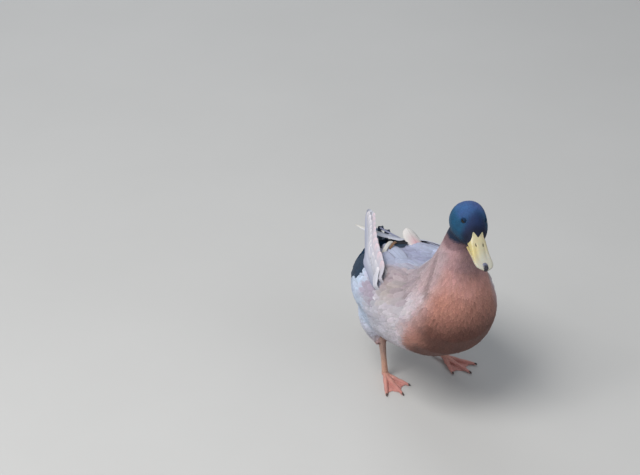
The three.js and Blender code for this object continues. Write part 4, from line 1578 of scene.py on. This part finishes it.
class DRAKE_OT_legs(bpy.types.Operator):
    """Makes the shanks, the webbed feet and the claws"""

    bl_idname = "drake.legs"
    bl_label = "Legs"

    def execute(self, context):
        leg, web = tint("leg"), tint("web")
        scales = bare_skin("leg_scales")
        claw_horn = nail_horn("claw_horn")
        for side, sign in (("left", 1), ("right", -1)):
            rig = LEGS[side]
            ankle, hock = Vector(rig["ankle"]), Vector(rig["hock"])
            bm = bmesh.new()
            top = hock + (hock - ankle).normalized() * 10
            line = [ankle - Vector((0, 0, 3)), ankle.lerp(hock, 0.25), ankle.lerp(hock, 0.6), hock, top]
            tube(bm, line, [5.2, 4.4, 4.5, 6.0, 7.0], 16, 44)
            turn = Matrix.Rotation(math.radians(rig["turn"]), 4, "Z")
            turn = Matrix.Translation((ankle.x, ankle.y, 0)) @ turn
            claws = bmesh.new()
            toes = bmesh.new()
            for length, spread in TOES:
                self.toe(toes, claws, length, math.radians(spread * sign))
            self.hind_toe(toes, claws, sign)
            self.web(toes, sign)
            bmesh.ops.transform(toes, matrix=turn, verts=toes.verts)
            bmesh.ops.transform(claws, matrix=turn, verts=claws.verts)
            put_in(bm, taken(toes, "toes"))
            foot = self.fused(context, bm, "leg_" + side)
            p = drawn(foot)
            tones = leg + (web - leg) * (ease(-p[:, 2], -14, -4) * 0.6)[:, None]
            tones = blended(tones, tint("shank"), ease(p[:, 2], 22, 52))
            mark(foot, tones * (1 + 0.08 * sway(p, 9))[:, None])
            keep_piece(foot, "leg_skin_" + side, scales, "leg_skin", "shank_" + side, "foot_" + side)
            horn = mesh_of(claws, "claws_" + side)
            mark(horn, np.tile((0.05, 0.035, 0.03), (len(horn.vertices), 1)))
            keep_piece(horn, "claws_" + side, claw_horn, "nail_horn")
        return {"FINISHED"}

    def toe(self, bm, claws, length, angle):
        """A front toe, swollen at its joints, and its claw."""

        def reach(d, z):
            return Vector((math.sin(angle) * d, -math.cos(angle) * d, z))

        joints = [0, 0.16, 0.33, 0.5, 0.66, 0.83, 0.97]
        heights = [6.5, 4.6, 3.6, 3.1, 2.6, 2.3, 1.9]
        radii = [4.4, 3.4, 3.7, 2.8, 3.1, 2.3, 1.7]
        tube(bm, [reach(length * j, h) for j, h in zip(joints, heights)], radii, 14, 30)
        claw = [reach(length * 0.92, 2.6), reach(length * 0.97, 2.5), reach(length, 0.9)]
        tube(claws, claw, [1.5, 1.3, 0.35], 12, 10)

    def hind_toe(self, bm, claws, sign):
        tube(bm, [(0, 0, 9), (-sign * 3, 10, 6.5), (-sign * 4.6, 17, 3.4)], [3.4, 2.6, 1.8], 12, 14)
        claw = [(-sign * 4.4, 16, 3.6), (-sign * 5, 18.4, 2.2), (-sign * 5.2, 19.0, 1.3)]
        tube(claws, claw, [1.2, 0.9, 0.3], 10, 8)

    def web(self, bm, sign):
        """Two sheets between the toes, scooped at the front and thin, with low folds."""
        for (long_a, spread_a), (long_b, spread_b) in zip(TOES, TOES[1:]):
            made = bmesh.ops.create_grid(bm, x_segments=16, y_segments=20, size=1)["verts"]
            for vert in made:
                f, out = (vert.co.x + 1) / 2, (vert.co.y + 1) / 2
                angle = math.radians((spread_a + (spread_b - spread_a) * f) * sign)
                far = (long_a + (long_b - long_a) * f) * 0.86 * (1 - 0.16 * math.sin(math.pi * f))
                d = 6 + (far - 6) * out
                z = 1.9 + 0.35 * math.sin(f * math.pi * 5) * out - 0.5 * math.sin(math.pi * f) * out
                vert.co = Vector((math.sin(angle) * d, -math.cos(angle) * d, z))
            bmesh.ops.solidify(bm, geom=faces_of(made), thickness=1.5)

    def fused(self, context, bm, name):
        """One even mesh of the shank, toes and webs, flat where it meets the floor."""
        in_row_frame(bm)
        shaped = evened(context, taken(bm, name), LEG_GRAIN * MM, 4)
        flat = np.empty(len(shaped.vertices) * 3, np.float32)
        shaped.vertices.foreach_get("co", flat)
        flat = flat.reshape(-1, 3)
        flat[:, 2] = np.maximum(flat[:, 2], 0)
        shaped.vertices.foreach_set("co", flat.ravel())
        shaped.update()
        shaped.shade_smooth()
        return shaped


# ---- Stage ---------------------------------------------------------------------------------

CAMERA_AIM = Vector((0, 0, 170))
CAMERA_SIDE, CAMERA_RISE = 27.0, 32.0
CAMERA_AWAY = 2840.0
CAMERA_LENS, CAMERA_SENSOR = 112.5, 36.0
# Where the aim stands off the middle of the view: how far right and down, for each unit ahead.
AIM_RIGHT, AIM_DOWN = 0.055, 0.02625


# Lights: name, place and width in metres, power in watts, tone.
LIGHTS = (
    ("key_light", (-1.4, -0.6, 2.5), 1.4, 74, (1.0, 0.98, 0.96)),
    ("side_light", (-2.3, -0.3, 1.0), 1.4, 8, (0.94, 0.97, 1.0)),
    ("fill_light", (1.6, -2.0, 1.9), 2.0, 14, (0.92, 0.96, 1.0)),
    ("rear_light", (0.2, 2.4, 1.8), 1.6, 20, (0.93, 0.96, 1.0)),
)


class DRAKE_OT_stage(bpy.types.Operator):
    """Sets out the floor, the lights and the camera"""

    bl_idname = "drake.stage"
    bl_label = "Stage"

    def execute(self, context):
        bm = bmesh.new()
        bmesh.ops.create_grid(bm, x_segments=4, y_segments=4, size=9)
        mesh = taken(bm, "floor")
        floor = bpy.data.objects.new("floor", mesh)
        mesh.materials.append(floor_paint("floor_paint"))
        context.scene.collection.objects.link(floor)

        for light in LIGHTS:
            self.lamp(*light)
        world = bpy.data.worlds.new("studio")
        context.scene.world = world
        world.use_nodes = True
        sky = world.node_tree.nodes["Background"].inputs
        sky["Color"].default_value, sky["Strength"].default_value = (0.84, 0.88, 0.95, 1), 0.32
        context.scene.view_settings.view_transform = "Standard"

        camera = bpy.data.cameras.new("camera")
        camera.lens, camera.sensor_width = CAMERA_LENS, CAMERA_SENSOR
        camera.clip_start, camera.clip_end = 0.05, 50
        seat = bpy.data.objects.new("camera", camera)
        context.scene.collection.objects.link(seat)
        aim = TO_ROW @ CAMERA_AIM
        a, e = math.radians(CAMERA_SIDE), math.radians(CAMERA_RISE)
        back = Vector((-math.sin(a) * math.cos(e), -math.cos(a) * math.cos(e), math.sin(e)))
        seat.location = aim + back * CAMERA_AWAY * MM
        self.turn_camera(seat, aim)
        context.scene.camera = seat
        return {"FINISHED"}

    def turn_camera(self, seat, aim):
        """Turns a level camera until the aim stands at its place in the frame."""
        want = Vector((AIM_RIGHT, -AIM_DOWN))
        ahead = (aim - seat.location).normalized()
        yaw, pitch = math.atan2(-ahead.x, ahead.y), math.asin(ahead.z)
        for _ in range(30):
            turned = Matrix.Rotation(yaw, 3, "Z") @ Matrix.Rotation(math.pi / 2 + pitch, 3, "X")
            seen = turned.transposed() @ (aim - seat.location)
            found = Vector((seen.x / -seen.z, seen.y / -seen.z))
            yaw += (want.x - found.x) / max(0.2, math.cos(pitch))
            pitch -= want.y - found.y
        seat.rotation_euler = (math.pi / 2 + pitch, 0, yaw)

    def lamp(self, name, place, size, power, tone):
        """A square light that faces the bird."""
        light = bpy.data.lights.new(name, "AREA")
        light.shape, light.size, light.energy, light.color = "SQUARE", size, power, tone
        lamp = bpy.data.objects.new(name, light)
        bpy.context.scene.collection.objects.link(lamp)
        lamp.location = place
        lamp.rotation_euler = (Vector((0, 0, 0.17)) - Vector(place)).to_track_quat("-Z", "Y").to_euler()


# ---- Panel and registration ----------------------------------------------------------------

STEPS = (
    DRAKE_OT_skin, DRAKE_OT_coat, DRAKE_OT_rows, DRAKE_OT_wings, DRAKE_OT_tail, DRAKE_OT_bill,
    DRAKE_OT_eyes, DRAKE_OT_legs, DRAKE_OT_stage,
)


class DRAKE_PT_pieces(bpy.types.Panel):
    """Lists the bird's pieces in the order they are made"""

    bl_label = "Drake"
    bl_idname = "DRAKE_PT_pieces"
    bl_space_type = "VIEW_3D"
    bl_region_type = "UI"
    bl_category = "Drake"

    def draw(self, context):
        for step in STEPS:
            self.layout.operator(step.bl_idname)
        for group in (context.scene.drake_sizes, context.scene.drake_colours):
            for name in group.bl_rna.properties.keys():
                if name not in ("rna_type", "name"):
                    self.layout.prop(group, name)


CLASSES = (DrakeSizes, DrakeColours, *STEPS, DRAKE_PT_pieces)


def register():
    for cls in CLASSES:
        bpy.utils.register_class(cls)
    bpy.types.Scene.drake_sizes = PointerProperty(type=DrakeSizes)
    bpy.types.Scene.drake_colours = PointerProperty(type=DrakeColours)


def unregister():
    del bpy.types.Scene.drake_colours
    del bpy.types.Scene.drake_sizes
    for cls in reversed(CLASSES):
        bpy.utils.unregister_class(cls)


def main():
    """Registers the add-on and makes every piece and the stage."""
    register()
    for step in STEPS:
        getattr(bpy.ops.drake, step.bl_idname.split(".")[1])()


if __name__ == "__main__":
    main()
